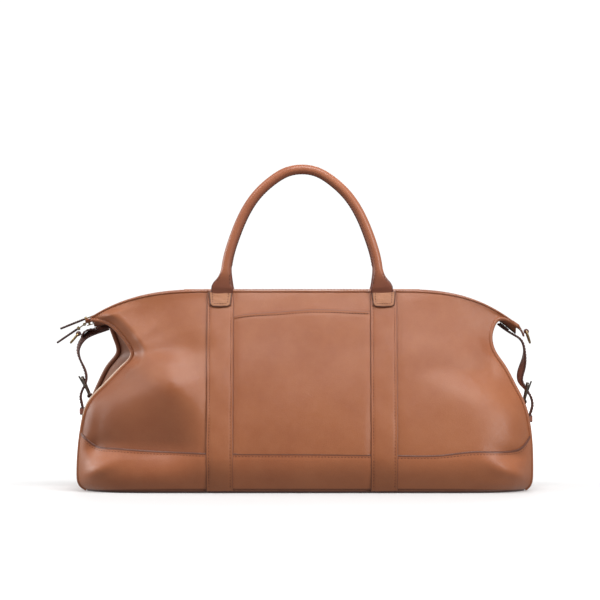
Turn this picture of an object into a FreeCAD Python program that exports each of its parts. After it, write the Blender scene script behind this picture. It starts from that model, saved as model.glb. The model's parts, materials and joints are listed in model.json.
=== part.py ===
"""Leather weekender bag: soft trapezoid body pinched at both ends by buckled side straps, two rolled
handles, a front slip pocket, and a two-slider zip that runs over the top.

Frame: +X along the bag, -Y is the front, +Z up, origin at the middle of the underside. Millimetres.
"""
import FreeCAD, Part
import math
import os
from FreeCAD import Vector

# ---- driving dimensions -------------------------------------------------------------------------
RIDGE_HEIGHT = 268.0       # top edge of the front and back panels
BELLY_DEPTH = 127.0        # half depth at the fullest height
BELLY_HEIGHT = 45.0
BELLY_TUCK = 17.5          # how far the panels turn in again at the bottom
RIDGE_DEPTH = 47.0         # half depth at the top edge
SOLE_HEIGHT = 5.4          # the panels start above the piping
LEATHER = 1.8              # thickness of the body leather
BOOT_TOP = 0.19            # share of the height covered by the boot
END_BOOT_TOP = 0.27        # the boot rises round the ends
PANEL_TOP = 0.995          # share of the height that each piece reaches
GUSSET_TOP = 0.97
BAND_TOP = 0.985
SEAM_SHARE = 0.002         # half of the clear line between boot and panel, as a share of the height

BAND_CENTRE = 109.5        # x of the vertical bands and of the handle legs
BAND_WIDTH = 34.0
BAND_LAYER = (0.5, 2.2)    # how far its two faces stand off the panel
PATCH_WIDTH = 29.0
PATCH_BOTTOM = 0.915
PATCH_LAYER = (2.5, 4.7)
POCKET_HALF = 91.5
POCKET_TOP = 0.86
POCKET_LAYER = (1.2, 2.8)

SOLE_HALF_X = 283.0
SOLE_HALF_Y = 113.0
SOLE_CORNER = 46.0
SOLE_SHIFT = 4.0           # the right end stands a little further out than the left
PIPING_RADIUS = 2.5

ZIP_RADIUS = 1020.0        # the zip follows one large arc over the top
ZIP_TOP = 264.5
ZIP_LEFT_X = -292.0        # the end facings reach this far
CHAIN_LEFT_X = -283.0      # the chain and tape end inside the outer slider
ZIP_RIGHT_X = 273.0
MOUTH_HALF = 160.0         # the part of the top that opens
FACING_HINGE_Y = 43.0
FACING_HINGE_Z = 267.5
FACING_INNER_Y = 8.5
CHAIN_INNER_Y = 0.9
CHAIN_OUTER_Y = 3.2
CHAIN_HALF_Z = 1.4
TAPE_OUTER_Y = 15.0
TAPE_HALF_Z = 0.35

SLIDER_LENGTH = 13.0
SLIDER_WIDTH = 11.0
SLIDER_PLATE = 1.2
CHEEK_Y = 3.4              # inner face of the two cheeks that hold the pull's bar
CHEEK_THICK = 1.0
INNER_SLIDER_X = -262.0
OUTER_SLIDER_X = -285.0
PULL_WIDTH = 9.0

HANDLE_PIVOT_X = 107.0
HANDLE_PIVOT_Y = 54.0
HANDLE_PIVOT_Z = 272.0
HANDLE_RADIUS = 6.2
HANDLE_LEAN = 5.0          # degrees, each handle leans in over the zip
HANDLE_CORE_RADIUS = 4.3
FLARE_HALF = 14.5

STRAP_WIDTH = 22.0
STRAP_THICK = 2.6
BUCKLE_INNER = 25.0
BUCKLE_WIRE = 1.5

# ---- outline of each end, seen from the front: (share of height, x, z) -----------------------------
LEFT_EDGE = [
    (0.00, -279, 5), (0.05, -293, 12), (0.11, -299, 27), (0.20, -299, 56), (0.32, -294, 88),
    (0.44, -284, 119), (0.55, -262, 143), (0.64, -240, 166), (0.70, -228, 181), (0.77, -236, 200),
    (0.85, -251, 217), (0.93, -267, 226), (1.00, -289, 229),
]
RIGHT_EDGE = [
    (0.00, 290, 5), (0.05, 302, 12), (0.11, 306, 27), (0.20, 306, 56), (0.32, 303, 88),
    (0.44, 296, 117), (0.55, 284, 141), (0.64, 270, 167), (0.72, 257, 187), (0.78, 253, 204),
    (0.84, 256, 219), (0.91, 266, 230), (0.96, 281, 226), (1.00, 298, 214),
]
# Half depth where the panels meet the gussets: (share of height, half depth).
EDGE_DEPTH = [(0.0, 62), (0.1, 69), (0.3, 72), (0.44, 70), (0.56, 64), (0.7, 50), (0.85, 36), (1.0, 21)]
BACK_RELAX = 17.0          # the back of the left fold is this much shallower


def curve_through(rows):
    """A function of the share of height that passes smoothly through rows of (share, values...)."""
    points = [Vector(row[1], 0, row[2] if len(row) > 2 else 0) for row in rows]
    spline = Part.BSplineCurve()
    spline.interpolate(Points=points, Parameters=[row[0] for row in rows])
    return spline.value


LEFT_AT = curve_through(LEFT_EDGE)
RIGHT_AT = curve_through(RIGHT_EDGE)
DEPTH_AT = curve_through(EDGE_DEPTH)


def bump(t, start, peak, stop):
    """0 outside start..stop, 1 at peak, smooth between."""
    if t <= start or t >= stop:
        return 0.0
    s = (t - start) / (peak - start) if t < peak else (stop - t) / (stop - peak)
    return s * s * (3 - 2 * s)


def half_depth(z):
    """Half depth of the bag's middle section at height z."""
    if z < BELLY_HEIGHT:
        return BELLY_DEPTH - BELLY_TUCK * ((BELLY_HEIGHT - z) / BELLY_HEIGHT) ** 2
    rise = min(1.0, (z - BELLY_HEIGHT) / (RIDGE_HEIGHT - BELLY_HEIGHT))
    return BELLY_DEPTH - (BELLY_DEPTH - RIDGE_DEPTH) * rise ** 1.35


def ends_at(v, side):
    """Left and right edge points of the front (side -1) or back (side 1) panel."""
    left, right = LEFT_AT(v), RIGHT_AT(v)
    if side > 0:
        left = left + Vector(-BACK_RELAX * bump(v, 0.44, 0.7, 0.96), 0, 0)
    return left, right


def panel_point(u, v, side):
    """Outer surface of the front (side -1) or back (side 1): u runs along the bag, v up it."""
    left, right = ends_at(v, side)
    x = left.x + (right.x - left.x) * u
    middle = SOLE_HEIGHT + (RIDGE_HEIGHT - SOLE_HEIGHT) * v
    near_left, near_right = max(0.0, 1 - u / 0.3), max(0.0, 1 - (1 - u) / 0.3)
    z = middle + (left.z - middle) * near_left ** 3 + (right.z - middle) * near_right ** 3
    turn = 7.0 - 4.8 * bump(min(v, 0.62), 0.34, 0.62, 0.9)
    taper = max(near_left, near_right) ** turn
    depth = half_depth(middle) * (1 - taper) + DEPTH_AT(v).x * taper
    return Vector(x, side * depth, z)


def panel_at_x(x, v, side):
    """The same surface, asked for by x."""
    left, right = ends_at(v, side)
    return panel_point((x - left.x) / (right.x - left.x), v, side)


def gusset_point(s, v, end):
    """Outer surface of the left (end -1) or right (end 1) gusset: s runs from the front to the back."""
    pick = 0 if end < 0 else 1
    front, back = ends_at(v, -1)[pick], ends_at(v, 1)[pick]
    middle = front + (back - front) * s
    arch = math.sin(math.pi * s)
    fold = 20.0 * bump(v, 0.46, 0.72, 0.94) * arch
    trough = (10.5 * bump(v, 0.86, 1.0, 1.14) - 1.2 * bump(v, 0.74, 0.85, 0.96)) * arch
    depth = DEPTH_AT(v).x - 3.2
    inset = 3.5
    return Vector(middle.x - end * (inset + fold), -depth + 2 * depth * s, middle.z - trough)


# ---- builders ---------------------------------------------------------------------------------------
def smooth_surface(net):
    """A cubic surface that has the net of points as its control net, so that it can't ripple."""
    def knots(count):
        inner = max(1, count - 3)
        return [float(k) for k in range(inner + 1)], [4] + [1] * (inner - 1) + [4]

    def clamped(rows):
        return [rows[0]] + [rows[0] + (rows[1] - rows[0]) / 3] + rows[1:-1] + \
               [rows[-1] + (rows[-2] - rows[-1]) / 3] + [rows[-1]]

    rows = [clamped(row) for row in net]
    columns = [clamped([row[j] for row in rows]) for j in range(len(rows[0]))]
    poles = [[columns[j][i] for j in range(len(columns))] for i in range(len(columns[0]))]
    u_knots, u_mults = knots(len(poles))
    v_knots, v_mults = knots(len(poles[0]))
    surface = Part.BSplineSurface()
    surface.buildFromPolesMultsKnots(poles, u_mults, v_mults, u_knots, v_knots, False, False, 3, 3)
    return surface


def between(lower, upper):
    """The closed solid between two surfaces with matching borders."""
    faces = [lower.toShape(), upper.toShape()]
    a, b = lower.bounds(), upper.bounds()
    for end in (0, 1):
        for low_edge, high_edge in ((lower.uIso(a[end]), upper.uIso(b[end])),
                                    (lower.vIso(a[2 + end]), upper.vIso(b[2 + end]))):
            faces.append(Part.makeRuledSurface(low_edge.toShape(), high_edge.toShape()))
    shell = Part.makeShell(faces)
    shell.sewShape()
    solid = Part.makeSolid(shell)
    if solid.Volume < 0:
        solid.reverse()
    return solid


def sheet(point, u_span, v_span, counts, low, high, outward):
    """A closed sheet whose two faces lie low and high mm from point(u, v), along the outward normal."""
    step = 1e-3

    def normal(u, v):
        along = point(u + step, v) - point(u - step, v)
        up = point(u, v + step) - point(u, v - step)
        return along.cross(up).normalize()

    middle = normal(sum(u_span) / 2, sum(v_span) / 2)
    sign = 1 if middle.dot(Vector(*outward)) > 0 else -1

    def skin(away):
        net = []
        for i in range(counts[0] + 1):
            u = u_span[0] + (u_span[1] - u_span[0]) * i / counts[0]
            row = []
            for j in range(counts[1] + 1):
                v = v_span[0] + (v_span[1] - v_span[0]) * j / counts[1]
                row.append(point(u, v) + normal(u, v) * (sign * away))
            net.append(row)
        return smooth_surface(net)

    return between(skin(low), skin(high))


def ribbon(points, thickness, width):
    """A strap: its centre line runs through (x, z) points, and it is width wide along Y."""
    line = Part.BSplineCurve()
    line.interpolate([Vector(x, 0, z) for x, z in points])
    count = 4 * len(points)
    rails = [[], []]
    for i in range(count + 1):
        t = line.FirstParameter + (line.LastParameter - line.FirstParameter) * i / count
        ahead = line.tangent(t)[0]
        side = Vector(ahead.z, 0, -ahead.x) * (thickness / 2)
        here = line.value(t)
        rails[0].append(here + side)
        rails[1].append(here - side)
    edges = []
    for rail in rails:
        curve = Part.BSplineCurve()
        curve.interpolate(rail)
        edges.append(curve.toShape())
    caps = [Part.LineSegment(rails[0][k], rails[1][k]).toShape() for k in (0, -1)]
    wire = Part.Wire(Part.__sortEdges__([edges[0], caps[0], edges[1], caps[1]]))
    face = Part.Face(wire)
    solid = face.extrude(Vector(0, width, 0))
    solid.translate(Vector(0, -width / 2, 0))
    return solid


def rod(edges, radius):
    """A round wire of the given radius along tangent edges."""
    path = Part.Wire(Part.__sortEdges__(edges))
    first = path.OrderedEdges[0]
    start = first.valueAt(first.FirstParameter)
    ahead = first.tangentAt(first.FirstParameter)
    profile = Part.Wire(Part.makeCircle(radius, start, ahead))
    return path.makePipeShell([profile], True, False)


def bar(start, end, radius):
    axis = Vector(*end) - Vector(*start)
    return Part.makeCylinder(radius, axis.Length, Vector(*start), axis)


def block(x, y, z):
    """A box from three (low, high) spans."""
    return Part.makeBox(x[1] - x[0], y[1] - y[0], z[1] - z[0], Vector(x[0], y[0], z[0]))


def turned(shape, pivot, axis, degrees):
    copy = shape.copy()
    copy.rotate(Vector(*pivot), Vector(*axis), degrees)
    return copy


def save(name, *solids):
    shape = solids[0] if len(solids) == 1 else Part.makeCompound(list(solids))
    for solid in solids:
        if not solid.isValid() or solid.Volume <= 0:
            print("CHECK", name, "valid", solid.isValid(), "volume", round(solid.Volume, 1))
    shape.exportStep(os.path.join("parts", name + ".step"))
    print(f"{name}: {shape.Volume / 1000:.2f} cm3")


# ---- leather shell -----------------------------------------------------------------------------------
def band_and_patch(name, side, label, centre):
    """A vertical reinforcing band, and the short patch over its top that holds a handle leg."""
    outward = (0, side, 0)

    def band(s, v):
        return panel_at_x(centre + (s - 0.5) * BAND_WIDTH, v, side)

    def patch(s, v):
        return panel_at_x(centre + (s - 0.5) * PATCH_WIDTH, v, side)

    save(f"{name}_band_{label}",
         sheet(band, (0.0, 1.0), (0.0, BAND_TOP), (2, 40), *BAND_LAYER, outward))
    save(f"{name}_handle_patch_{label}",
         sheet(patch, (0.0, 1.0), (PATCH_BOTTOM, BAND_TOP), (2, 4), *PATCH_LAYER, outward))


def make_shell():
    for name, side in (("front", -1), ("back", 1)):
        outward = (0, side, 0)

        def surface(u, v):
            return panel_point(u, v, side)

        panel_span, boot_span = (BOOT_TOP + SEAM_SHARE, PANEL_TOP), (0.0, BOOT_TOP - SEAM_SHARE)
        save(name + "_panel", sheet(surface, (0.0, 1.0), panel_span, (28, 24), -LEATHER, 0, outward))
        save(name + "_boot", sheet(surface, (0.0, 1.0), boot_span, (28, 9), -LEATHER, 0, outward))
        for label, centre in (("left", -BAND_CENTRE), ("right", BAND_CENTRE)):
            band_and_patch(name, side, label, centre)

    def pocket(s, v):
        return panel_at_x((s - 0.5) * 2 * POCKET_HALF, v, -1)

    pocket_span = (BOOT_TOP + 0.005, POCKET_TOP)
    save("front_pocket", sheet(pocket, (0.0, 1.0), pocket_span, (8, 12), *POCKET_LAYER, (0, -1, 0)))

    for name, end in (("left", -1), ("right", 1)):
        outward = (end, 0, 0.1)

        def gusset(s, v):
            return gusset_point(s, v, end)

        upper_span, lower_span = (END_BOOT_TOP + SEAM_SHARE, GUSSET_TOP), (0.0, END_BOOT_TOP - SEAM_SHARE)
        save(name + "_gusset", sheet(gusset, (0.0, 1.0), upper_span, (10, 24), -LEATHER, 0, outward))
        save(name + "_boot", sheet(gusset, (0.0, 1.0), lower_span, (10, 6), -LEATHER, 0, outward))


def rounded_rectangle(half_x, half_y, corner, z, shift):
    """Edges of a rounded rectangle, centred at (shift, 0, z)."""
    edges = []
    signs = [(1, 1), (-1, 1), (-1, -1), (1, -1)]
    for k, (sx, sy) in enumerate(signs):
        cx, cy = shift + sx * (half_x - corner), sy * (half_y - corner)
        start, stop = 90 * k, 90 * (k + 1)
        circle = Part.Circle(Vector(cx, cy, z), Vector(0, 0, 1), corner)
        edges.append(Part.ArcOfCircle(circle, math.radians(start), math.radians(stop)).toShape())
    joined = []
    for k, arc in enumerate(edges):
        following = edges[(k + 1) % 4]
        joined += [arc, Part.LineSegment(arc.valueAt(arc.LastParameter),
                                         following.valueAt(following.FirstParameter)).toShape()]
    return joined


def plate(half_x, half_y, corner, low, high):
    face = Part.Face(Part.Wire(rounded_rectangle(half_x, half_y, corner, low, SOLE_SHIFT)))
    return face.extrude(Vector(0, 0, high - low))


def make_base():
    inset = 2 * PIPING_RADIUS + 0.3
    save("bottom_panel", plate(SOLE_HALF_X - inset, SOLE_HALF_Y - inset, SOLE_CORNER - inset, 0.0, 2.2))
    save("base_board", plate(SOLE_HALF_X - 14, SOLE_HALF_Y - 10, SOLE_CORNER - 8, 2.6, 4.8))
    middle = rounded_rectangle(SOLE_HALF_X - PIPING_RADIUS, SOLE_HALF_Y - PIPING_RADIUS,
                               SOLE_CORNER - PIPING_RADIUS, PIPING_RADIUS, SOLE_SHIFT)
    save("bottom_piping", rod(middle, PIPING_RADIUS))


def make_lining():
    """Lining sheets that stand just inside the leather."""
    sheets = []
    for side in (-1, 1):
        outward = (0, side, 0)

        def surface(u, v):
            return panel_point(u, v, side)

        sheets.append(sheet(surface, (0.06, 0.94), (0.05, 0.97), (28, 28), -3.9, -3.1, outward))
    for end in (-1, 1):
        outward = (end, 0, 0.1)

        def gusset(s, v):
            return gusset_point(s, v, end)

        sheets.append(sheet(gusset, (0.08, 0.92), (0.05, 0.8), (10, 20), -4.0, -3.2, outward))
    save("lining", *sheets)


# ---- zip and top facings ---------------------------------------------------------------------------
def zip_z(x):
    return ZIP_TOP - ZIP_RADIUS + math.sqrt(ZIP_RADIUS ** 2 - x ** 2)


def zip_angle(x):
    return math.degrees(math.asin(x / ZIP_RADIUS))


def arc_strip(y_span, half_z, x_span):
    """A strip that follows the zip's arc, as a solid of revolution about the arc's own axis."""
    centre = Vector(0, 0, ZIP_TOP - ZIP_RADIUS)
    top = ZIP_RADIUS + half_z
    low = ZIP_RADIUS - half_z
    corners = [Vector(0, y_span[0], low), Vector(0, y_span[1], low),
               Vector(0, y_span[1], top), Vector(0, y_span[0], top)]
    face = Part.Face(Part.makePolygon([centre + c for c in corners] + [centre + corners[0]]))
    face.rotate(centre, Vector(0, 1, 0), zip_angle(x_span[0]))
    return face.revolve(centre, Vector(0, 1, 0), zip_angle(x_span[1]) - zip_angle(x_span[0]))


def facing_point(x, t, side):
    """Top facing: t runs from the panel's top edge to the zip."""
    edge = panel_at_x(x, 0.995, side)
    outer_y, outer_z = abs(edge.y) - 2.6, edge.z - 1.0
    if abs(x) <= MOUTH_HALF + 1:
        outer_y, outer_z = FACING_HINGE_Y - 1.4, FACING_HINGE_Z
    inner = FACING_INNER_Y
    y = outer_y + (inner - outer_y) * t
    z = outer_z + (zip_z(x) + 1.6 - outer_z) * t
    return Vector(x, side * y, z)


def facing(side, x_span, count):
    """Top facing leather between two x values."""
    skins = []
    for away in (-0.7, 0.7):
        net = []
        for i in range(count + 1):
            x = x_span[0] + (x_span[1] - x_span[0]) * i / count
            net.append([facing_point(x, j / 4, side) + Vector(0, 0, away) for j in range(5)])
        skins.append(smooth_surface(net))
    return between(*skins)


def make_top():
    parts = (("left_end", (ZIP_LEFT_X, -MOUTH_HALF - 1)), ("right_end", (MOUTH_HALF + 1, ZIP_RIGHT_X)))
    for name, side in (("front", -1), ("back", 1)):
        hinge_roll = bar((-MOUTH_HALF, side * FACING_HINGE_Y, FACING_HINGE_Z),
                         (MOUTH_HALF, side * FACING_HINGE_Y, FACING_HINGE_Z), 1.3)
        save(name + "_mouth_facing", facing(side, (-MOUTH_HALF, MOUTH_HALF), 12).fuse(hinge_roll))
        chain = sorted((side * CHAIN_INNER_Y, side * CHAIN_OUTER_Y))
        tape = sorted((side * (CHAIN_OUTER_Y + 0.1), side * TAPE_OUTER_Y))
        save(name + "_zip_chain", arc_strip(chain, CHAIN_HALF_Z, (-MOUTH_HALF, MOUTH_HALF)))
        save(name + "_zip_tape", arc_strip(tape, TAPE_HALF_Z, (-MOUTH_HALF, MOUTH_HALF)))
    for name, span in parts:
        save(name + "_facing", *[facing(side, span, 8) for side in (-1, 1)])
        span = (max(span[0], CHAIN_LEFT_X), span[1])
        strips = []
        for side in (-1, 1):
            chain = sorted((side * CHAIN_INNER_Y, side * CHAIN_OUTER_Y))
            tape = sorted((side * (CHAIN_OUTER_Y + 0.1), side * TAPE_OUTER_Y))
            strips += [arc_strip(chain, CHAIN_HALF_Z, span), arc_strip(tape, TAPE_HALF_Z, span)]
        save(name + "_zip", *strips)


# ---- handles -----------------------------------------------------------------------------------------
# One half of a handle's centre line: (x, height above its pivot).
HANDLE_LINE = [
    (107, 0), (105, 8), (101, 33.5), (92, 66), (78, 99.5), (63, 123), (40, 145), (19, 157), (0, 160),
]
FLARE_TOP = 25.0           # the rolled handle flattens below this height


def handle_curve():
    half = [Vector(x, 0, z) for x, z in HANDLE_LINE]
    points = [Vector(-p.x, 0, p.z) for p in half[:-1]] + half[::-1]
    line = Part.BSplineCurve()
    line.interpolate(points)
    return line


def above(line, height):
    """The part of the handle's centre line above the given height, as an edge."""
    first, last = line.FirstParameter, line.LastParameter
    low, high = first, first + (last - first) / 4
    for _ in range(40):
        middle = (low + high) / 2
        if line.value(middle).z < height:
            low = middle
        else:
            high = middle
    return line.toShape(low, first + last - low)


def flare(end):
    """The flattened leg: from the round handle down to a flat tongue on the pivot line."""
    wires = []
    for height, half_width, half_thick, square in (
            (0.0, FLARE_HALF, 2.5, 0.5), (5.0, FLARE_HALF, 2.6, 0.52), (10.0, 12.8, 3.1, 0.6),
            (15.0, 10.0, 4.2, 0.75), (20.0, 7.6, 5.5, 0.9), (24.0, 6.5, 6.2, 1.0), (27.0, 6.4, 6.4, 1.0)):
        points = []
        x = HANDLE_PIVOT_X - 0.06 * height - 0.0025 * height ** 2
        for k in range(16):
            a = 2 * math.pi * (k + 0.5) / 16
            c, d = math.cos(a), math.sin(a)
            points.append(Vector(end * x + half_width * math.copysign(abs(c) ** square, c),
                                 half_thick * math.copysign(abs(d) ** square, d), height))
        loop = Part.BSplineCurve()
        loop.interpolate(Points=points, PeriodicFlag=True)
        wires.append(Part.Wire(loop.toShape()))
    leg = Part.makeLoft(wires, True, False)
    root = end * HANDLE_PIVOT_X
    return leg.fuse(bar((root - FLARE_HALF, 0, 0), (root + FLARE_HALF, 0, 0), 2.5))


def make_handles():
    line = handle_curve()
    tube = rod([above(line, FLARE_TOP)], HANDLE_RADIUS)
    hollow = tube.cut(rod([above(line, FLARE_TOP + 2)], HANDLE_CORE_RADIUS + 0.1))
    body = hollow.fuse([flare(-1), flare(1)])
    core = rod([above(line, FLARE_TOP + 3.5)], HANDLE_CORE_RADIUS)
    for name, side in (("front", -1), ("back", 1)):
        for label, shape in (("_handle", body), ("_handle_core", core)):
            leaning = turned(shape, (0, 0, 0), (1, 0, 0), side * HANDLE_LEAN)
            leaning.translate(Vector(0, side * HANDLE_PIVOT_Y, HANDLE_PIVOT_Z))
            save(name + label, *leaning.Solids)


# ---- zip sliders and pulls ------------------------------------------------------------------------
# name, slider x, hinge along and above the track, pull angle below horizontal, metal length, full length
PULLS = [
    ("inner", INNER_SLIDER_X, -7.2, 9.5, 21.7, 21.0, 60.0),
    ("outer", OUTER_SLIDER_X, -9.6, 0.4, 34.0, 8.0, 45.0),
]


def make_slider(x, hinge_along, hinge_above):
    """A slider made at the top of the arc and swung along it to x, and its pull's hinge point."""
    half_long, half_wide = SLIDER_LENGTH / 2, SLIDER_WIDTH / 2
    near = CHAIN_HALF_Z + 0.3
    top = block((-half_long, half_long), (-half_wide, half_wide), (near, near + SLIDER_PLATE))
    low = block((-half_long, half_long), (-half_wide, half_wide), (-near - SLIDER_PLATE, -near))
    post = block((-half_long + 2, -half_long + 5), (-0.6, 0.6), (-near - 0.2, near + 0.2))
    solid = top.fuse([low, post])
    hinge = Vector(hinge_along, 0, hinge_above)
    for side in (-1, 1):
        outline = [(hinge.x - 1.4, hinge.z + 1.4), (hinge.x + 1.4, hinge.z + 1.4),
                   (-half_long + 8, near + SLIDER_PLATE), (-half_long + 8, near), (-half_long, near),
                   (hinge.x - 1.4, hinge.z - 1.4)]
        corners = [Vector(along, side * CHEEK_Y, above_track) for along, above_track in outline]
        cheek = Part.Face(Part.makePolygon(corners + [corners[0]]))
        solid = solid.fuse(cheek.extrude(Vector(0, side * CHEEK_THICK, 0)))
    solid = solid.fuse(bar((hinge.x, -CHEEK_Y - 0.2, hinge.z), (hinge.x, CHEEK_Y + 0.2, hinge.z), 0.9))
    centre = Vector(0, 0, ZIP_TOP - ZIP_RADIUS)
    solid.translate(Vector(0, 0, ZIP_TOP))
    solid.rotate(centre, Vector(0, 1, 0), zip_angle(x))
    angle = math.radians(zip_angle(x))
    arm = Vector(hinge.x, 0, ZIP_RADIUS + hinge.z)
    pivot = centre + Vector(arm.x * math.cos(angle) + arm.z * math.sin(angle), 0,
                            arm.z * math.cos(angle) - arm.x * math.sin(angle))
    return solid, pivot


def make_sliders():
    half_tab = PULL_WIDTH / 2
    for name, x, along, high, droop, metal, full in PULLS:
        slider, pivot = make_slider(x, along, high)
        save(name + "_slider", slider)
        eye = bar((0, -2.3, 0), (0, 2.3, 0), 2.2).cut(bar((0, -3, 0), (0, 3, 0), 1.25))
        shank = block((-metal, -1.9), (-1.6, 1.6), (-0.8, 0.8))
        bead = Part.makeCylinder(2.6, 3.0, Vector(-metal, 0, 0), Vector(-1, 0, 0))
        end = Part.makeCylinder(half_tab, 2.0, Vector(-full + half_tab, 0, -1.0))
        tab = block((-full + half_tab, -metal - 3.1), (-half_tab, half_tab), (-1.0, 1.0)).fuse(end)
        for label, shape in (("_pull_link", eye.fuse([shank, bead])), ("_pull_tab", tab)):
            shape = turned(shape, (0, 0, 0), (0, 1, 0), -droop)
            shape.translate(pivot)
            save(name + label, *shape.Solids)
        print("hinge", name, round(pivot.x, 3), round(pivot.z, 3))


# ---- end tabs, side straps, rings and buckles -----------------------------------------------------
ENDS = {
    "left": {
        "tab": [(-278, 214.3), (-286, 214.6), (-293, 212), (-297, 207.6), (-298.2, 204)],
        "anchor": [(-255, 219.4), (-263, 216.9), (-272, 213)],
        "strap": [(-258, 214.5), (-270, 209.5), (-284, 205.5), (-294, 202), (-300.5, 194), (-302.5, 183),
                  (-300, 171), (-295.5, 160), (-292.5, 147), (-296.5, 134), (-299.5, 124), (-297.5, 112),
                  (-296.5, 100), (-296, 85), (-299, 63)],
        "ring": (-302.5, 209.0), "ring_angle": 229.5, "tongue": (-299.4, 207.9),
        "heel": (-287.0, 125.0), "toe": (-297.5, 150.0), "prong": (-301.8, 150.8), "slot": (-294.9, 138.6),
        "chape": [(-293.8, 77), (-291.9, 88), (-289.2, 100), (-286.9, 112), (-286.9, 121.9)],
        "keeper": ((-300.6, -290.4), (99.5, 109.0)),
    },
    "right": {
        "tab": [(286, 219.5), (292, 217), (297.2, 212), (300, 205.5)],
        "anchor": [(267.6, 222.8), (273, 218.5), (279, 213.7)],
        "strap": [(264, 222), (277, 211.5), (286, 206), (296, 200.5), (299, 194), (298, 186),
                  (294.5, 175), (291, 166), (290.5, 157), (293, 148), (299, 139.5), (305, 131),
                  (310.5, 121), (311.5, 110), (308, 98), (306.5, 80), (308, 66), (310.5, 54)],
        "ring": (303.5, 212.0), "ring_angle": -72.0, "tongue": (300.9, 210.6),
        "heel": (300.5, 117.0), "toe": (305.5, 142.0), "prong": (310.2, 143.9), "slot": (306.4, 128.4),
        "chape": [(302.2, 75), (301.0, 87), (299.6, 100), (300.4, 113.9)],
        "keeper": ((303.0, 311.6), (89.5, 98.5)),
    },
}
LOOP_WIDTH = 20.0
RING_REACH = 16.0


def wire_loop(half_wide, reach, corner, round_end):
    """Edges of a ring or buckle frame in the YZ plane: its bar lies along Y, its far end at z = reach."""
    def arc(cy, cz, radius, start, stop):
        angles = [math.radians(a) for a in (start, (start + stop) / 2, stop)]
        three = [Vector(0, cy + radius * math.cos(a), cz + radius * math.sin(a)) for a in angles]
        return Part.Arc(*three).toShape()

    def line(y0, z0, y1, z1):
        return Part.LineSegment(Vector(0, y0, z0), Vector(0, y1, z1)).toShape()

    flat, far = half_wide - corner, reach - corner
    edges = [line(-flat, 0, flat, 0), arc(flat, corner, corner, 270, 360),
             arc(-flat, corner, corner, 180, 270)]
    if round_end:
        return edges + [arc(0, corner, half_wide, 0, 180)]
    return edges + [line(half_wide, corner, half_wide, far), line(-half_wide, corner, -half_wide, far),
                    arc(flat, far, corner, 0, 90), arc(-flat, far, corner, 90, 180),
                    line(-flat, reach, flat, reach)]


def placed(shape, point, angle):
    """Swing a shape built along +Z to point at the given angle in XZ, then move it to the point."""
    shape = turned(shape, (0, 0, 0), (0, 1, 0), 90 - angle)
    shape.translate(Vector(point[0], 0, point[1]))
    return shape


def sleeve(point, inner, outer, half_width):
    x, z = point
    return bar((x, -half_width, z), (x, half_width, z), outer).cut(
        bar((x, -half_width - 1, z), (x, half_width + 1, z), inner))


def make_end_hardware():
    for name, end in ENDS.items():
        sign = -1 if name == "left" else 1
        save(name + "_end_tab", ribbon(end["tab"], 2.0, 26.0))
        save(name + "_strap_anchor", ribbon(end["anchor"], 2.8, 24.0))

        heel, toe, tip = (Vector(x, 0, z) for x, z in (end["heel"], end["toe"], end["prong"]))
        frame_angle = math.degrees(math.atan2(toe.z - heel.z, toe.x - heel.x))
        prong_angle = math.degrees(math.atan2(tip.z - heel.z, tip.x - heel.x))

        slot = block((-4, 4), (-1.8, 1.8), (-5.2, 5.2))
        slot = turned(slot, (0, 0, 0), (0, 1, 0), sign * -25)
        slot.translate(Vector(end["slot"][0], 0, end["slot"][1]))
        save(name + "_side_strap", ribbon(end["strap"], STRAP_THICK, STRAP_WIDTH).cut(slot))

        half = BUCKLE_INNER / 2 + BUCKLE_WIRE
        frame = rod(wire_loop(half, (toe - heel).Length, 4.0, False), BUCKLE_WIRE)
        save(name + "_buckle_frame", placed(frame, end["heel"], frame_angle))

        reach = (tip - heel).Length
        prong = bar((0, 0, 2.3), (0, 0, reach), 1.1)
        prong = prong.fuse([Part.makeSphere(1.1, Vector(0, 0, reach)), sleeve((0, 0), 1.85, 2.9, 1.5)])
        save(name + "_buckle_prong", placed(prong, end["heel"], prong_angle))

        gap = Part.makeCylinder(6.0, 5.0, Vector(heel.x, -2.5, heel.z), Vector(0, 1, 0))
        loop = sleeve(end["heel"], 1.85, 3.5, LOOP_WIDTH / 2)
        chape = ribbon(end["chape"], 1.8, LOOP_WIDTH).fuse(loop).cut(gap)
        chape = chape.cut(bar((heel.x, -LOOP_WIDTH, heel.z), (heel.x, LOOP_WIDTH, heel.z), 1.85))
        save(name + "_buckle_chape", *chape.Solids)

        (x0, x1), (z0, z1) = end["keeper"]
        outer = block((x0, x1), (-13.2, 13.2), (z0, z1))
        save(name + "_keeper", outer.cut(block((x0 + 1.2, x1 - 1.2), (-12.0, 12.0), (z0 - 1, z1 + 1))))

        ring = rod(wire_loop(13.0, RING_REACH, 3.0, True), BUCKLE_WIRE)
        save(name + "_ring", placed(ring, end["ring"], end["ring_angle"]))
        halfway = tuple((a + b) / 2 for a, b in zip(end["tongue"], end["ring"]))
        tongue = ribbon([end["tongue"], halfway, end["ring"]], 3.2, 14.0)
        holder = sleeve(end["ring"], 1.85, 3.4, 7.0).fuse(tongue)
        x, z = end["ring"]
        save(name + "_ring_chape", *holder.cut(bar((x, -20, z), (x, 20, z), 1.85)).Solids)


os.makedirs("parts", exist_ok=True)
make_shell()
make_base()
make_lining()
make_top()
make_handles()
make_sliders()
make_end_hardware()
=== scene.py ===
"""Leather weekender bag: the looks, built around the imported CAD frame.

The leather shell follows the CAD's own outline, with fuller lower corners, and adds what soft leather does:
pulled folds, seams that pinch, rolled edges, stitches. Lengths are in millimetres until a mesh is made, and
+X is along the bag, -Y the front, +Z up. A height share v runs from 0 at the sole to 1 at the ridge, and a
length share u from 0 at the bag's left edge to 1 at its right edge.
"""

import json
import math

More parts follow.
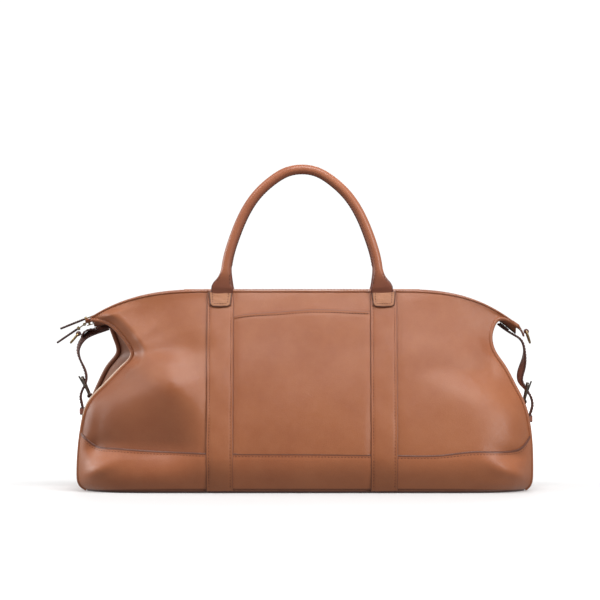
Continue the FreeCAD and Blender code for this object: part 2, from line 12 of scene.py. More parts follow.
import bmesh
import bpy
import numpy as np
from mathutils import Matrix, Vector


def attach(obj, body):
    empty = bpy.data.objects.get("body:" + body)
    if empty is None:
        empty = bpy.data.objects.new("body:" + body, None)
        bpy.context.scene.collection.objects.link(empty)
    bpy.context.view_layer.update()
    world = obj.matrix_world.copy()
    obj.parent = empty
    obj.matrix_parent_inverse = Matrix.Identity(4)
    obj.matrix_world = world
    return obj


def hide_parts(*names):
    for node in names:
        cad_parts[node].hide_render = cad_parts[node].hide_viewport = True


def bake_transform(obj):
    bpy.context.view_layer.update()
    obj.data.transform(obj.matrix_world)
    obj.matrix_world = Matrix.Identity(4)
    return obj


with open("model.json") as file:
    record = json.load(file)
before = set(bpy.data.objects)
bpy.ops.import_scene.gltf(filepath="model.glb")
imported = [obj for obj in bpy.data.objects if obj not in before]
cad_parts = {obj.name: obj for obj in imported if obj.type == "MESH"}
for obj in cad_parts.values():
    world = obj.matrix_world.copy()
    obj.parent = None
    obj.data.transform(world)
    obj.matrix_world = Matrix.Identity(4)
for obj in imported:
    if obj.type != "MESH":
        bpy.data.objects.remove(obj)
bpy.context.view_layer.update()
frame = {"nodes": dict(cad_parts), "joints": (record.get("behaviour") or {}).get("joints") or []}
MM = 0.001

SIDES = (("front", -1), ("back", 1))
ENDS = (("left", -1), ("right", 1))
UP = np.array([0.0, 0.0, 1.0])

# ---- dimensions ---------------------------------------------------------------------------------------
RIDGE_HEIGHT, SOLE_HEIGHT = 268.0, 5.4
BELLY_DEPTH, BELLY_HEIGHT, BELLY_TUCK, RIDGE_DEPTH = 127.0, 45.0, 17.5, 47.0
LEATHER = 1.8
PANEL_TOP = 0.995
BOOT_TOP, END_BOOT_TOP = 0.19, 0.27
BAND_CENTRE, BAND_WIDTH = 109.5, 34.0
POCKET_HALF = 91.5
SOLE_SHIFT, PIPING_RADIUS = 5.0, 2.5
ZIP_RADIUS, ZIP_TOP, ZIP_LEFT_X, ZIP_RIGHT_X, CHAIN_LEFT_X = 1020.0, 264.5, -292.0, 273.0, -283.0
MOUTH_HALF, FACING_HINGE_Y, FACING_HINGE_Z = 160.0, 43.0, 267.5
FACING_INNER_Y, FACING_THICK, TAPE_INNER_Y, TAPE_OUTER_Y = 8.5, 1.4, 2.6, 15.0
HANDLE_PIVOT_Y, HANDLE_PIVOT_Z, HANDLE_LEAN, HANDLE_RADIUS = 54.0, 272.0, 5.0, 6.2
STRAP_WIDTH, STRAP_THICK, KEEPER_HALF, KEEPER_THICK, CHAPE_LOOP = 22.0, 2.6, 12.6, 1.3, 2.75

# The front's outline at each end: (height share, x, z).
LEFT_EDGE = [
    (0.00, -289, 2.8), (0.045, -296.5, 9), (0.11, -299, 25.5), (0.20, -297.5, 56), (0.32, -293.5, 88),
    (0.44, -284, 119), (0.55, -262, 143), (0.64, -240, 166), (0.70, -228, 181), (0.77, -236, 200),
    (0.85, -251, 217), (0.93, -267, 226), (1.00, -289, 229),
]
RIGHT_EDGE = [
    (0.00, 299, 2.8), (0.045, 304.5, 9), (0.11, 306.5, 25.5), (0.20, 306, 56), (0.32, 303, 88),
    (0.44, 296, 117), (0.55, 284, 141), (0.64, 270, 167), (0.72, 257, 187), (0.78, 253, 204),
    (0.84, 256, 219), (0.91, 266, 230), (0.96, 281, 226), (1.00, 298, 214),
]
# Half depth where the front and back meet the gussets: (height share, half depth).
EDGE_DEPTH = [(0.0, 62), (0.1, 69), (0.3, 72), (0.44, 70), (0.56, 64), (0.7, 50), (0.85, 36), (1.0, 21)]
BACK_RELAX = 23.0           # how far the back's left edge stays out where the front's is drawn in


# ---- curves and surfaces ----------------------------------------------------------------------------
def cubic_through(rows):
    """Natural cubic spline through (t, values...) rows; works on arrays of t."""
    t = np.array([r[0] for r in rows], float)
    y = np.array([r[1:] for r in rows], float)
    n, h = len(t), np.diff(t)
    a, b = np.zeros((n, n)), np.zeros((n, y.shape[1]))
    a[0, 0] = a[-1, -1] = 1.0
    for i in range(1, n - 1):
        a[i, i - 1:i + 2] = h[i - 1], 2 * (h[i - 1] + h[i]), h[i]
        b[i] = 6 * ((y[i + 1] - y[i]) / h[i] - (y[i] - y[i - 1]) / h[i - 1])
    m = np.linalg.solve(a, b)

    def value(q):
        q = np.asarray(q, float)
        k = np.clip(np.searchsorted(t, q) - 1, 0, n - 2)
        s, e, w = (t[k + 1] - q)[..., None], (q - t[k])[..., None], h[k][..., None]
        return (m[k] * s ** 3 + m[k + 1] * e ** 3) / (6 * w) + \
               (y[k] / w - m[k] * w / 6) * s + (y[k + 1] / w - m[k + 1] * w / 6) * e
    return value


def unit(rows):
    """Vectors along the last axis, brought to length 1."""
    return rows / (np.linalg.norm(rows, axis=-1, keepdims=True) + 1e-12)


def run_along(points):
    """Length along a line of points, from its start to each of them."""
    return np.concatenate([[0], np.cumsum(np.linalg.norm(np.diff(points, axis=0), axis=1))])


def bell(t, centre, width):
    """1 at the centre, falling away over about width to both sides."""
    return np.exp(-((t - centre) / width) ** 2)


LEFT_AT = cubic_through(LEFT_EDGE)
RIGHT_AT = cubic_through(RIGHT_EDGE)
DEPTH_AT = cubic_through(EDGE_DEPTH)


def smoothstep(t):
    t = np.clip(t, 0.0, 1.0)
    return t * t * (3 - 2 * t)


def bump(t, start, peak, stop):
    """0 outside start..stop, 1 at peak, smooth between."""
    t = np.asarray(t, float)
    return smoothstep(np.where(t < peak, (t - start) / (peak - start), (stop - t) / (stop - peak)))


def half_depth(z):
    """Half depth of the bag's middle part: fullest at the belly, tucked in below it, narrow at the ridge."""
    low = BELLY_DEPTH - BELLY_TUCK * np.clip((BELLY_HEIGHT - z) / BELLY_HEIGHT, 0, None) ** 2
    rise = np.clip((z - BELLY_HEIGHT) / (RIDGE_HEIGHT - BELLY_HEIGHT), 0.0, 1.0)
    return np.where(z < BELLY_HEIGHT, low, BELLY_DEPTH - (BELLY_DEPTH - RIDGE_DEPTH) * rise ** 1.35)


def ends_at(v, side):
    """(x, z) of the left and right edge of one side."""
    left, right = LEFT_AT(v), RIGHT_AT(v)
    if side > 0:
        left = left.copy()
        left[..., 0] -= BACK_RELAX * bump(v, 0.40, 0.68, 0.97)
    return left, right


def ridge(x, z, points, width):
    """Weight of a fold along (x, z) points: 1 where it starts, dying away along it and to both sides."""
    best, run, passed = np.full(np.shape(x), np.inf), np.zeros(np.shape(x)), 0.0
    for (x0, z0), (x1, z1) in zip(points[:-1], points[1:]):
        dx, dz = x1 - x0, z1 - z0
        length = math.hypot(dx, dz)
        t = np.clip(((x - x0) * dx + (z - z0) * dz) / length ** 2, 0, 1)
        away = np.hypot(x - x0 - t * dx, z - z0 - t * dz)
        run = np.where(away < best, passed + t * length, run)
        best = np.minimum(best, away)
        passed += length
    share = run / passed
    return bell(best, 0.0, width * (0.7 + 0.9 * share)) * (1 - smoothstep(share))


# Folds of the slumped leather: (side, (x, z) points from where it is strongest, width, height).
# Ridges have a height above 0 and hollows one below 0.
FOLDS = [
    (-1, [(-226, 198), (-196, 222), (-172, 246)], 9, 2.6),
    (-1, [(-224, 192), (-186, 200), (-146, 212)], 9, 2.4),
    (-1, [(-222, 186), (-180, 176), (-138, 172)], 9, 2.0),
    (-1, [(-284, 118), (-292, 92), (-288, 60)], 9, 4.0),
    (-1, [(-299, 18), (-272, 32), (-238, 48), (-196, 66)], 11, 7.5),
    (-1, [(-292, 56), (-256, 68), (-226, 84)], 12, -4.0),
    (-1, [(-268, 202), (-240, 222), (-196, 240)], 22, 3.0),
    (-1, [(264, 196), (226, 188), (180, 198), (130, 204)], 22, 3.5),
    (-1, [(258, 172), (226, 158), (196, 126)], 24, -4.0),
    (-1, [(304, 18), (262, 34), (214, 62)], 10, 7.0),
    (-1, [(304, 46), (270, 52), (236, 68)], 10, -5.5),
    (1, [(-240, 184), (-190, 166), (-150, 120)], 20, 7.0),
    (1, [(-230, 150), (-180, 120), (-150, 90)], 30, -7.0),
    (1, [(258, 190), (206, 182), (160, 150)], 20, 6.0),
    (1, [(250, 160), (214, 130), (190, 90)], 26, -6.0),
    (1, [(-299, 20), (-250, 40), (-190, 60)], 12, 6.5),
    (1, [(302, 20), (252, 38), (204, 60)], 12, 6.5),
]


# The big fold at the front's left end.
CREASE_X, CREASE_Z, CREASE_SLOPE = -236.0, 190.0, -0.66
FOLD_OUT, FOLD_IN, FOLD_FOOT = 17.0, 14.0, 60.0
FOLD_END_X, FOLD_FADE = -116.0, 66.0


def crease_height(x):
    """Height of the diagonal crease that runs down from the front's left notch."""
    return CREASE_Z + CREASE_SLOPE * (x - CREASE_X)


def big_fold(x, z):
    """The front's left end: pushed out along the crease, and drawn in from there down to the boot seam."""
    out = np.zeros(np.shape(x))
    crease = crease_height(x)
    run = np.maximum(crease - FOLD_FOOT, 30.0)
    steps = (-9.0, -4.5, 0.0, 4.5, 9.0)      # averaged over, so that the crease is rounded
    for step in steps:
        t = (crease - z - step) / run
        above = FOLD_OUT * bell(t * run, 0.0, 40.0)
        below = -FOLD_IN * bell((t - 1) * run, 0.0, 26.0)
        facet = FOLD_OUT - (FOLD_OUT + FOLD_IN) * t
        out = out + np.where(t < 0, above, np.where(t > 1, below, facet)) / len(steps)
    return out * smoothstep((FOLD_END_X - x) / FOLD_FADE)


def slump(x, z, side):
    """How far soft folds push the leather out of its plain shape."""
    out = big_fold(x, z) if side < 0 else np.zeros(np.shape(x))
    for where, points, width, height in FOLDS:
        if where == side:
            out = out + height * ridge(x, z, points, width)
    wave = 0.9 * np.sin(x / 47.0 + z / 90.0 + side) * np.sin(z / 41.0 - x / 130.0)
    wave += 0.5 * np.sin(x / 19.0 - z / 33.0) * np.sin(z / 23.0 + x / 61.0 + 2 * side)
    near_seam = bell(np.abs(np.abs(x) - BAND_CENTRE), BAND_WIDTH / 2, 7.0)
    return out + wave * (1 - 0.7 * near_seam) - 0.8 * near_seam


def panel(u, v, side):
    """Outer surface of the front (side -1) or back (side 1), as an array of points."""
    u, v = np.broadcast_arrays(np.asarray(u, float), np.asarray(v, float))
    left, right = ends_at(v, side)
    x = left[..., 0] + (right[..., 0] - left[..., 0]) * u
    middle = SOLE_HEIGHT + (RIDGE_HEIGHT - SOLE_HEIGHT) * v
    near_left, near_right = np.clip(1 - u / 0.3, 0, 1), np.clip(1 - (1 - u) / 0.3, 0, 1)
    z = middle + (left[..., 1] - middle) * near_left ** 3 + (right[..., 1] - middle) * near_right ** 3
    turn = 7.0 - 4.8 * bump(np.minimum(v, 0.62), 0.34, 0.62, 0.9)
    taper = np.maximum(near_left, near_right) ** turn
    depth = half_depth(middle) * (1 - taper) + DEPTH_AT(v)[..., 0] * taper
    calm = smoothstep(v / 0.05) * smoothstep((1 - v) / 0.05) * smoothstep(np.minimum(u, 1 - u) / 0.04)
    depth = depth + slump(x, z, side) * calm
    return np.stack([x, side * depth, z], axis=-1)


# Height share of the boots' top seam at x: it dips in the middle and turns up at the corners.
BOOT_SEAM = cubic_through([
    (-300, 0.280), (-290, 0.246), (-278, 0.214), (-256, 0.199), (-210, 0.187), (-130, 0.174), (0, 0.171),
    (128, 0.164), (190, 0.168), (225, 0.184), (282, 0.191), (296, 0.213), (307, 0.262),
])


# Height share of the pocket's mouth along it: lowest at its left end, highest past the middle.
POCKET_LINE = cubic_through([
    (0.0, 0.867), (0.08, 0.876), (0.3, 0.886), (0.58, 0.899), (0.8, 0.896), (1.0, 0.892),
])


def boot_seam(u, side):
    """Height share of the boot seam at u."""
    left, right = ends_at(np.full(np.shape(u), BOOT_TOP), side)
    return BOOT_SEAM(left[..., 0] + (right[..., 0] - left[..., 0]) * u)[..., 0]


def panel_x(x, v, side):
    """The same surface at a place given by x."""
    x, v = np.broadcast_arrays(np.asarray(x, float), np.asarray(v, float))
    left, right = ends_at(v, side)
    return panel((x - left[..., 0]) / (right[..., 0] - left[..., 0]), v, side)


def gusset(s, v, end):
    """Outer surface of the left (end -1) or right (end 1) gusset, s from the front to the back."""
    s, v = np.broadcast_arrays(np.asarray(s, float), np.asarray(v, float))
    pick = 0 if end < 0 else 1
    front, back = ends_at(v, -1)[pick], ends_at(v, 1)[pick]
    middle = front + (back - front) * s[..., None]
    arch = np.sin(math.pi * s)
    fold = 20.0 * bump(v, 0.46, 0.72, 0.94) * arch
    trough = (10.5 * bump(v, 0.86, 1.0, 1.14) - 1.2 * bump(v, 0.74, 0.85, 0.96)) * arch
    depth = DEPTH_AT(v)[..., 0] - 3.2
    x = middle[..., 0] - end * (3.5 + fold)
    z = middle[..., 1] - trough
    crumple = 0.8 * np.sin(z / 17.0 + 5 * s) * np.sin(9 * s + z / 60.0) + 0.6 * np.sin(z / 9.0 + 3 * s)
    crumple = crumple * np.sqrt(np.clip(arch, 0, None))
    x = x + end * crumple * smoothstep((0.97 - v) / 0.1) * smoothstep(v / 0.05)
    return np.stack([x, -depth + 2 * depth * s, z], axis=-1)


def normals(point, a, b, toward):
    """Unit normals of the surface point(a, b), turned to the given outward direction."""
    step = 1e-3
    along = point(a + step, b) - point(a - step, b)
    up = point(a, b + step) - point(a, b - step)
    n = unit(np.cross(along, up))
    middle = n[n.shape[0] // 2, n.shape[1] // 2]
    return n if np.dot(middle, toward) > 0 else -n


def over(call, *fixed):
    """A surface of (a, b) alone, from one that takes more values after them."""
    return lambda a, b: call(a, b, *fixed)


# ---- materials ------------------------------------------------------------------------------------------
class Nodes:
    """A small helper to build one material's node tree."""

    def __init__(self, name):
        self.material = bpy.data.materials.new(name)
        self.material.use_nodes = True
        self.tree = self.material.node_tree
        self.shader = self.tree.nodes["Principled BSDF"]
        self.coordinates = None

    def add(self, kind, **settings):
        """A new node; each setting is one of its inputs, or else one of its properties."""
        node = self.tree.nodes.new(kind)
        for key, value in settings.items():
            if key in node.inputs:
                node.inputs[key].default_value = value
            else:
                setattr(node, key, value)
        return node

    def link(self, source, target):
        self.tree.links.new(source, target)

    def put(self, name, value):
        """Feed one input of the shader with a number, a colour or another node's output."""
        if isinstance(value, bpy.types.NodeSocket):
            self.link(value, self.shader.inputs[name])
        else:
            self.shader.inputs[name].default_value = value

    def noise(self, scale, detail=3.0, rough=0.55):
        node = self.add("ShaderNodeTexNoise", Scale=scale, Detail=detail, Roughness=rough)
        self.link(self.place(), node.inputs["Vector"])
        return node.outputs["Fac"]

    def cell_edges(self, scale):
        node = self.add("ShaderNodeTexVoronoi", feature="DISTANCE_TO_EDGE", Scale=scale)
        self.link(self.place(), node.inputs["Vector"])
        return node.outputs["Distance"]

    def place(self):
        """The object's own coordinates, in metres."""
        if self.coordinates is None:
            self.coordinates = self.add("ShaderNodeTexCoord")
        return self.coordinates.outputs["Object"]

    def ramp(self, value, low, high, start=0.0, stop=1.0):
        """Map low..high to start..stop, and keep to them beyond."""
        node = self.add("ShaderNodeMapRange")
        node.inputs["From Min"].default_value, node.inputs["From Max"].default_value = low, high
        node.inputs["To Min"].default_value, node.inputs["To Max"].default_value = start, stop
        self.link(value, node.inputs["Value"])
        return node.outputs["Result"]

    def mix(self, factor, a, b):
        node = self.add("ShaderNodeMix", data_type="RGBA")
        slots = [node.inputs[0], node.inputs[6], node.inputs[7]]       # the factor and the two colours
        for slot, value in zip(slots, (factor, a, b)):
            if isinstance(value, bpy.types.NodeSocket):
                self.link(value, slot)
            elif isinstance(value, (int, float)):
                slot.default_value = value
            else:
                slot.default_value = (*value, 1.0)
        return node.outputs[2]                                         # the mixed colour

    def bump(self, height, strength, distance, under=None):
        node = self.add("ShaderNodeBump", Strength=strength, Distance=distance)
        self.link(height, node.inputs["Height"])
        if under is not None:
            self.link(under, node.inputs["Normal"])
        return node.outputs["Normal"]


def srgb(r, g, b):
    """8-bit display colour to linear."""
    parts = (r / 255, g / 255, b / 255)
    return tuple(c / 12.92 if c <= 0.04045 else ((c + 0.055) / 1.055) ** 2.4 for c in parts)


def leather(name, burnish_and_shade_colour, tone, deep, pale, grain=1.0, rough=0.40, mottled=1.0, ripple=0.12):
    """Leather whose colour drifts, with fine pores, a pebbled surface, and a point attribute that darkens it:
    burnishing at edges, painted shade where a piece sets it.
    """
    burnish_and_shade_colour, tone, deep, pale = (srgb(*colour) for colour in (burnish_and_shade_colour, tone, deep, pale))
    n = Nodes(name)
    drift = n.ramp(n.noise(7.0, 4.0), 0.35, 0.68)
    cloud = n.ramp(n.noise(38.0, 5.0, 0.6), 0.36, 0.7)
    base = n.mix(drift, deep, tone)
    base = n.mix(n.ramp(cloud, 0, 1, 0.0, 0.32 * mottled), base, pale)
    pores = n.cell_edges(950.0)
    base = n.mix(n.ramp(pores, 0.0, 0.12, 0.16 * grain, 0.0), base, tuple(c * 0.45 for c in tone))
    wear_and_shade = n.add("ShaderNodeAttribute", attribute_name="wear_and_shade").outputs["Fac"]
    # Edge burnishing, and painted shade on some pieces, darken the colour towards its darkest colour.
    base = n.mix(n.ramp(wear_and_shade, 0.0, 1.0, 0.0, 0.92), base, burnish_and_shade_colour)
    n.put("Base Color", base)
    n.put("Roughness", n.ramp(n.noise(120.0, 3.0), 0.3, 0.7, rough - 0.05, rough + 0.05))
    n.put("Specular IOR Level", 0.58)
    n.put("Sheen Weight", 0.08)
    n.put("Sheen Roughness", 0.5)
    pebble = n.bump(n.ramp(pores, 0.0, 0.3), 0.2 * grain, 0.0004)
    fine = n.bump(n.noise(420.0, 6.0, 0.65), 0.2 * grain, 0.0006, pebble)
    soft = n.bump(n.noise(55.0, 3.0, 0.5), ripple, 0.0018, fine)
    n.put("Normal", soft)
    return n.material


def plain(name, colour, rough=0.5, noise_scale=200.0, vary=0.25, bump=0.1):
    """A matt material whose colour varies a little in small patches."""
    n = Nodes(name)
    spread = n.ramp(n.noise(noise_scale, 4.0), 0.3, 0.7)
    base = n.mix(spread, tuple(c * (1 - vary) for c in colour), tuple(min(1, c * (1 + vary)) for c in colour))
    n.put("Base Color", base)
    shine = n.ramp(n.noise(noise_scale * 2, 3.0), 0.3, 0.7, rough - 0.07, rough + 0.07)
    n.put("Roughness", shine)
    n.put("Normal", n.bump(n.noise(noise_scale * 3, 3.0), bump, 0.0004))
    return n.material


def metal(name, colour, rough):
    """Antiqued cast metal: a fine rough surface, darker in patches."""
    n = Nodes(name)
    patina = n.ramp(n.noise(260.0, 5.0, 0.6), 0.38, 0.72)
    base = n.mix(patina, colour, tuple(c * 0.55 for c in colour))
    n.put("Base Color", base)
    n.put("Metallic", 1.0)
    n.put("Roughness", n.ramp(n.noise(700.0, 4.0), 0.3, 0.7, rough - 0.08, rough + 0.1))
    n.put("Normal", n.bump(n.noise(1500.0, 3.0), 0.12, 0.0002))
    return n.material


def woven(name, colour, dark, pitch):
    """Plain weave: crossing sine ribs at the given pitch in metres, with flecks."""
    n = Nodes(name)
    ribs = []
    for direction in ("X", "Z"):
        wave = n.add("ShaderNodeTexWave", wave_type="BANDS", bands_direction=direction,
                     Scale=0.314 / pitch, Distortion=0.6, Detail=1.0)
        n.link(n.place(), wave.inputs["Vector"])
        ribs.append(wave.outputs["Fac"])
    weave = n.mix(0.5, ribs[0], ribs[1])
    fleck = n.ramp(n.noise(500.0, 2.0), 0.35, 0.65)
    base = n.mix(n.ramp(weave, 0.2, 0.8), dark, colour)
    base = n.mix(n.ramp(fleck, 0, 1, 0.0, 0.3), base, dark)
    n.put("Base Color", base)
    n.put("Roughness", 0.9)
    n.put("Sheen Weight", 0.2)
    n.put("Normal", n.bump(weave, 0.5, 0.0004))
    return n.material


def white(name, reflect, glow, near=None):
    """A plain white studio surface that also glows a little, and less around the bag if near is given."""
    n = Nodes(name)
    tint = n.ramp(n.noise(1.2, 2.0), 0.3, 0.7)
    n.put("Base Color", n.mix(tint, (reflect,) * 3, (reflect * 1.02,) * 3))
    n.put("Roughness", 0.7)
    n.put("Emission Color", (1.0, 1.0, 1.0, 1.0))
    n.put("Emission Strength", glow)
    if near is not None:
        reach = n.add("ShaderNodeVectorMath", operation="LENGTH")
        n.link(n.place(), reach.inputs[0])
        n.put("Emission Strength", n.ramp(reach.outputs["Value"], 0.4, 1.9, near, glow))
    return n.material


# Each leather's colours: darkest colour (of edge burnishing, and of painted shade), tone, deep and pale
# patches; then what else differs.
LEATHERS = {
    "body": ((96, 50, 34), (168, 99, 59), (157, 88, 50), (180, 113, 73), {}),
    "patch": ((80, 38, 24), (182, 120, 80), (166, 104, 66), (200, 142, 102), {"grain": 2.2, "mottled": 1.3}),
    "handle": ((84, 32, 22), (176, 106, 72), (162, 92, 60), (188, 120, 86),
               {"grain": 0.08, "rough": 0.38, "ripple": 0.03}),
    # Painted light: the gussets' leather is a paler, greyer copy of the body's, so that the shaded ends look
    # lit.
    "gusset": ((110, 66, 50), (166, 112, 84), (146, 96, 72), (184, 134, 106), {"rough": 0.5}),
    "strap": ((58, 28, 24), (150, 92, 72), (128, 74, 58), (168, 108, 84), {"rough": 0.44}),
    "trim": ((52, 24, 20), (126, 70, 56), (100, 52, 42), (144, 86, 70), {"rough": 0.42}),
    "sole": ((60, 32, 26), (104, 62, 48), (84, 48, 38), (120, 76, 60), {"rough": 0.5}),
    "welt": ((44, 22, 18), (148, 88, 60), (130, 76, 50), (162, 102, 72), {}),
    # Painted light: the boots' leather is a lighter copy of the body's, against the shade on their lower,
    # downward-facing part.
    "boot": ((92, 48, 32), (178, 105, 64), (166, 94, 55), (189, 118, 78), {}),
    # Painted highlight: a pale leather for the light line along the front's left rolled edge.
    "painted_rim_highlight": ((160, 120, 96), (226, 196, 172), (206, 172, 148), (236, 212, 192), {"rough": 0.6}),
}
M = {key: leather(key + "_leather", *row[:4], **row[4]) for key, row in LEATHERS.items()}
M.update({
    "thread": plain("thread", srgb(120, 66, 44), rough=0.7, noise_scale=900.0, vary=0.2, bump=0.5),
    "thread_dark": plain("thread_dark", srgb(82, 42, 30), rough=0.7, noise_scale=900.0, vary=0.2, bump=0.5),
    "brass": metal("antique_brass", srgb(186, 160, 118), 0.34),
    "steel": metal("dark_nickel", srgb(120, 112, 104), 0.36),
    "zip": metal("zip_metal", srgb(150, 124, 88), 0.38),
    "tape": woven("zip_tape_cloth", srgb(92, 60, 46), srgb(58, 36, 28), 0.0009),
    "lining": woven("lining_cloth", srgb(150, 126, 104), srgb(112, 92, 76), 0.0016),
    "board": plain("base_board_fibre", srgb(58, 46, 40), rough=0.8, noise_scale=90.0),
    "rope": woven("rope_filler", srgb(196, 176, 146), srgb(150, 130, 104), 0.0022),
})


# ---- mesh makers -----------------------------------------------------------------------------------------
def make(name, verts, faces, material, wear_and_shade=0.0):
    """A smooth-shaded object from points in millimetres, with how far each point is darkened (burnishing at
    edges, painted shade on some pieces).
    """
    verts = np.asarray(verts, float).reshape(-1, 3)
    mesh = bpy.data.meshes.new(name)
    mesh.from_pydata((verts * MM).tolist(), [], faces)
    mesh.polygons.foreach_set("use_smooth", [True] * len(mesh.polygons))
    mesh.materials.append(material)
    store = mesh.attributes.new("wear_and_shade", "FLOAT", "POINT")
    store.data.foreach_set("value", np.broadcast_to(np.ravel(wear_and_shade), len(verts)).astype(np.float32))
    mesh.validate()
    mesh.update()
    obj = bpy.data.objects.new(name, mesh)
    bpy.context.scene.collection.objects.link(obj)
    return obj


def spread(count, length, first=1.0):
    """0..1 in count even steps, with extra steps first and 2.5 x first mm from both ends."""
    inner = np.linspace(0, 1, count + 1)[1:-1]
    near = np.array([first, 2.5 * first]) / length
    clear = near[1] * 1.5
    inner = inner[(inner > clear) & (inner < 1 - clear)]
    return np.unique(np.concatenate([[0, *near], inner, [1 - near[1], 1 - near[0], 1]]))


def sheet(name, point, counts, size, toward, material, a_span=(0.0, 1.0), b_span=(0.0, 1.0), lift=0.0,
          thick=LEATHER, edge_wear=0.7, relief=None, burnish_and_shade=None):
    """A closed sheet with half-round edges over point(a, b); size is its rough (a, b) size in mm.

    lift raises its outer face along the normal, relief(a, b) adds to that, and burnished(a, b) darkens it:
    burnishing on some pieces, painted shade on others.
    """
    spans = zip((a_span, b_span), counts, size)
    aa, bb = np.meshgrid(*(low + (high - low) * spread(n, mm) for (low, high), n, mm in spans), indexing="ij")
    base = point(aa, bb)
    n = normals(point, aa, bb, np.asarray(toward, float))
    high = lift + (relief(aa, bb) if relief else 0.0) * np.ones(aa.shape)
    outer = base + n * high[..., None]
    inner = base + n * (np.minimum(high, lift) - thick)[..., None]
    rows, cols = aa.shape
    loop = [(i, 0) for i in range(rows)] + [(rows - 1, j) for j in range(1, cols)] + \
           [(i, cols - 1) for i in range(rows - 2, -1, -1)] + [(0, j) for j in range(cols - 2, 0, -1)]
    verts = [outer.reshape(-1, 3), inner.reshape(-1, 3)]
    total = rows * cols
    faces = []
    for i in range(rows - 1):
        for j in range(cols - 1):
            k = i * cols + j
            faces.append((k, k + cols, k + cols + 1, k + 1))
            faces.append((total + k, total + k + 1, total + k + cols + 1, total + k + cols))
    rim, levels = [], (0.7, 0.0, -0.7)       # the half-round edge, as shares of its radius
    for i, j in loop:
        inside = (min(max(i, 1), rows - 2), min(max(j, 1), cols - 2))
        away = outer[i, j] - outer[inside]
        away = unit(away - n[i, j] * np.dot(away, n[i, j]))
        centre, r = (outer[i, j] + inner[i, j]) / 2, np.linalg.norm(outer[i, j] - inner[i, j]) / 2
        rim.append([centre + away * r * math.sqrt(1 - q * q) + n[i, j] * r * q for q in levels])
    verts.append(np.array(rim).reshape(-1, 3))
    count, deep = len(loop), len(levels)
    ladders = [[i * cols + j, *(2 * total + deep * k + m for m in range(deep)), total + i * cols + j]
               for k, (i, j) in enumerate(loop)]
    for here, there in zip(ladders, ladders[1:] + ladders[:1]):
        for m in range(deep + 1):
            faces.append((here[m], here[m + 1], there[m + 1], there[m]))
    border = np.zeros((rows, cols))
    border[[0, -1], :] = border[:, [0, -1]] = 1.0
    face = border * edge_wear * 0.7
    # The darkening function adds burnishing on some pieces and painted shade on others.
    if burnish_and_shade:
        face = np.maximum(face, burnish_and_shade(aa, bb))
    wear_and_shade = np.concatenate([face.ravel(), border.ravel() * 0.3, np.full(count * deep, edge_wear)])
    obj = make(name, np.concatenate(verts), faces, material, wear_and_shade)
    fix_normals(obj)
    return obj


def fix_normals(obj):
    """Turn every face outwards."""
    work = bmesh.new()
    work.from_mesh(obj.data)
    bmesh.ops.recalc_face_normals(work, faces=work.faces)
    work.to_mesh(obj.data)
    work.free()


def resample(points, count):
    """Smooth curve through the points, at count + 1 evenly spaced places, and its length."""
    points = np.asarray(points, float)
    gaps = run_along(points)
    curve = cubic_through([(g, *p) for g, p in zip(gaps, points)])
    fine = curve(np.linspace(0, gaps[-1], 40 * len(points)))
    run = run_along(fine)
    even = np.linspace(0, run[-1], count + 1)
    return np.stack([np.interp(even, run, fine[:, k]) for k in range(fine.shape[1])], axis=-1), run[-1]


def tube_faces(base, around, rings, closed=False):
    """Faces of a tube of rings of points, from point number base on: closed on itself, or with flat ends."""
    faces = []
    for r in range(rings if closed else rings - 1):
        low, high = base + around * r, base + around * ((r + 1) % rings)
        for a in range(around):
            b = (a + 1) % around
            faces.append((low + a, low + b, high + b, high + a))
    if not closed:
        faces.append(tuple(base + a for a in range(around))[::-1])
        faces.append(tuple(base + around * (rings - 1) + a for a in range(around)))
    return faces


def sweep(name, centres, sides, ups, profile, material, wear_and_shade=0.0, closed=False):
    """Sweep a closed (side, up) profile, or one per station, along centres."""
    stations = len(centres)
    profile = np.asarray(profile, float)
    if profile.ndim == 2:
        profile = np.repeat(profile[None], stations, axis=0)
    around = profile.shape[1]
    verts = centres[:, None] + profile[..., :1] * sides[:, None] + profile[..., 1:] * ups[:, None]
    obj = make(name, verts, tube_faces(0, around, stations, closed), material,
               np.broadcast_to(wear_and_shade, (stations, around)))
    fix_normals(obj)
    return obj


def circle(radius, sides=12):
    """Profile of a round cord or bead."""
    angles = np.linspace(0, 2 * math.pi, sides, endpoint=False)
    return np.stack([radius * np.cos(angles), radius * np.sin(angles)], axis=-1)


def slab(width, thick, sides=5, crown=0.0):
    """Profile of a strap: flat with half-round edges, and a slightly crowned top."""
    r = thick / 2
    half = width / 2 - r
    right = [(half + r * math.cos(t), r * math.sin(t)) for t in np.linspace(-math.pi / 2, math.pi / 2, sides)]
    top = [(x, r + crown * (1 - (x / half) ** 2)) for x in np.linspace(half, -half, 7)[1:-1]]
    left = [(-half - r * math.cos(t), r * math.sin(t)) for t in np.linspace(math.pi / 2, -math.pi / 2, sides)]
    low = [(x, -r) for x in np.linspace(-half, half, 7)[1:-1]]
    return np.array(right + top + left + low)


def slab_wear(width, thick, sides=5):
    """How worn each point of a slab's profile is: its edges only."""
    points = slab(width, thick, sides)
    return np.where(np.abs(points[:, 0]) > width / 2 - thick * 0.75, 0.9, 0.0)


# One stitch as rings of six points: (place along it, height and radius as shares of the thread's radius).
STITCH_RINGS = [
    (-0.5, -0.9, 0.35), (-0.4, 0.0, 0.8), (-0.15, 0.35, 1.0),
    (0.15, 0.35, 1.0), (0.4, 0.0, 0.8), (0.5, -0.9, 0.35),
]


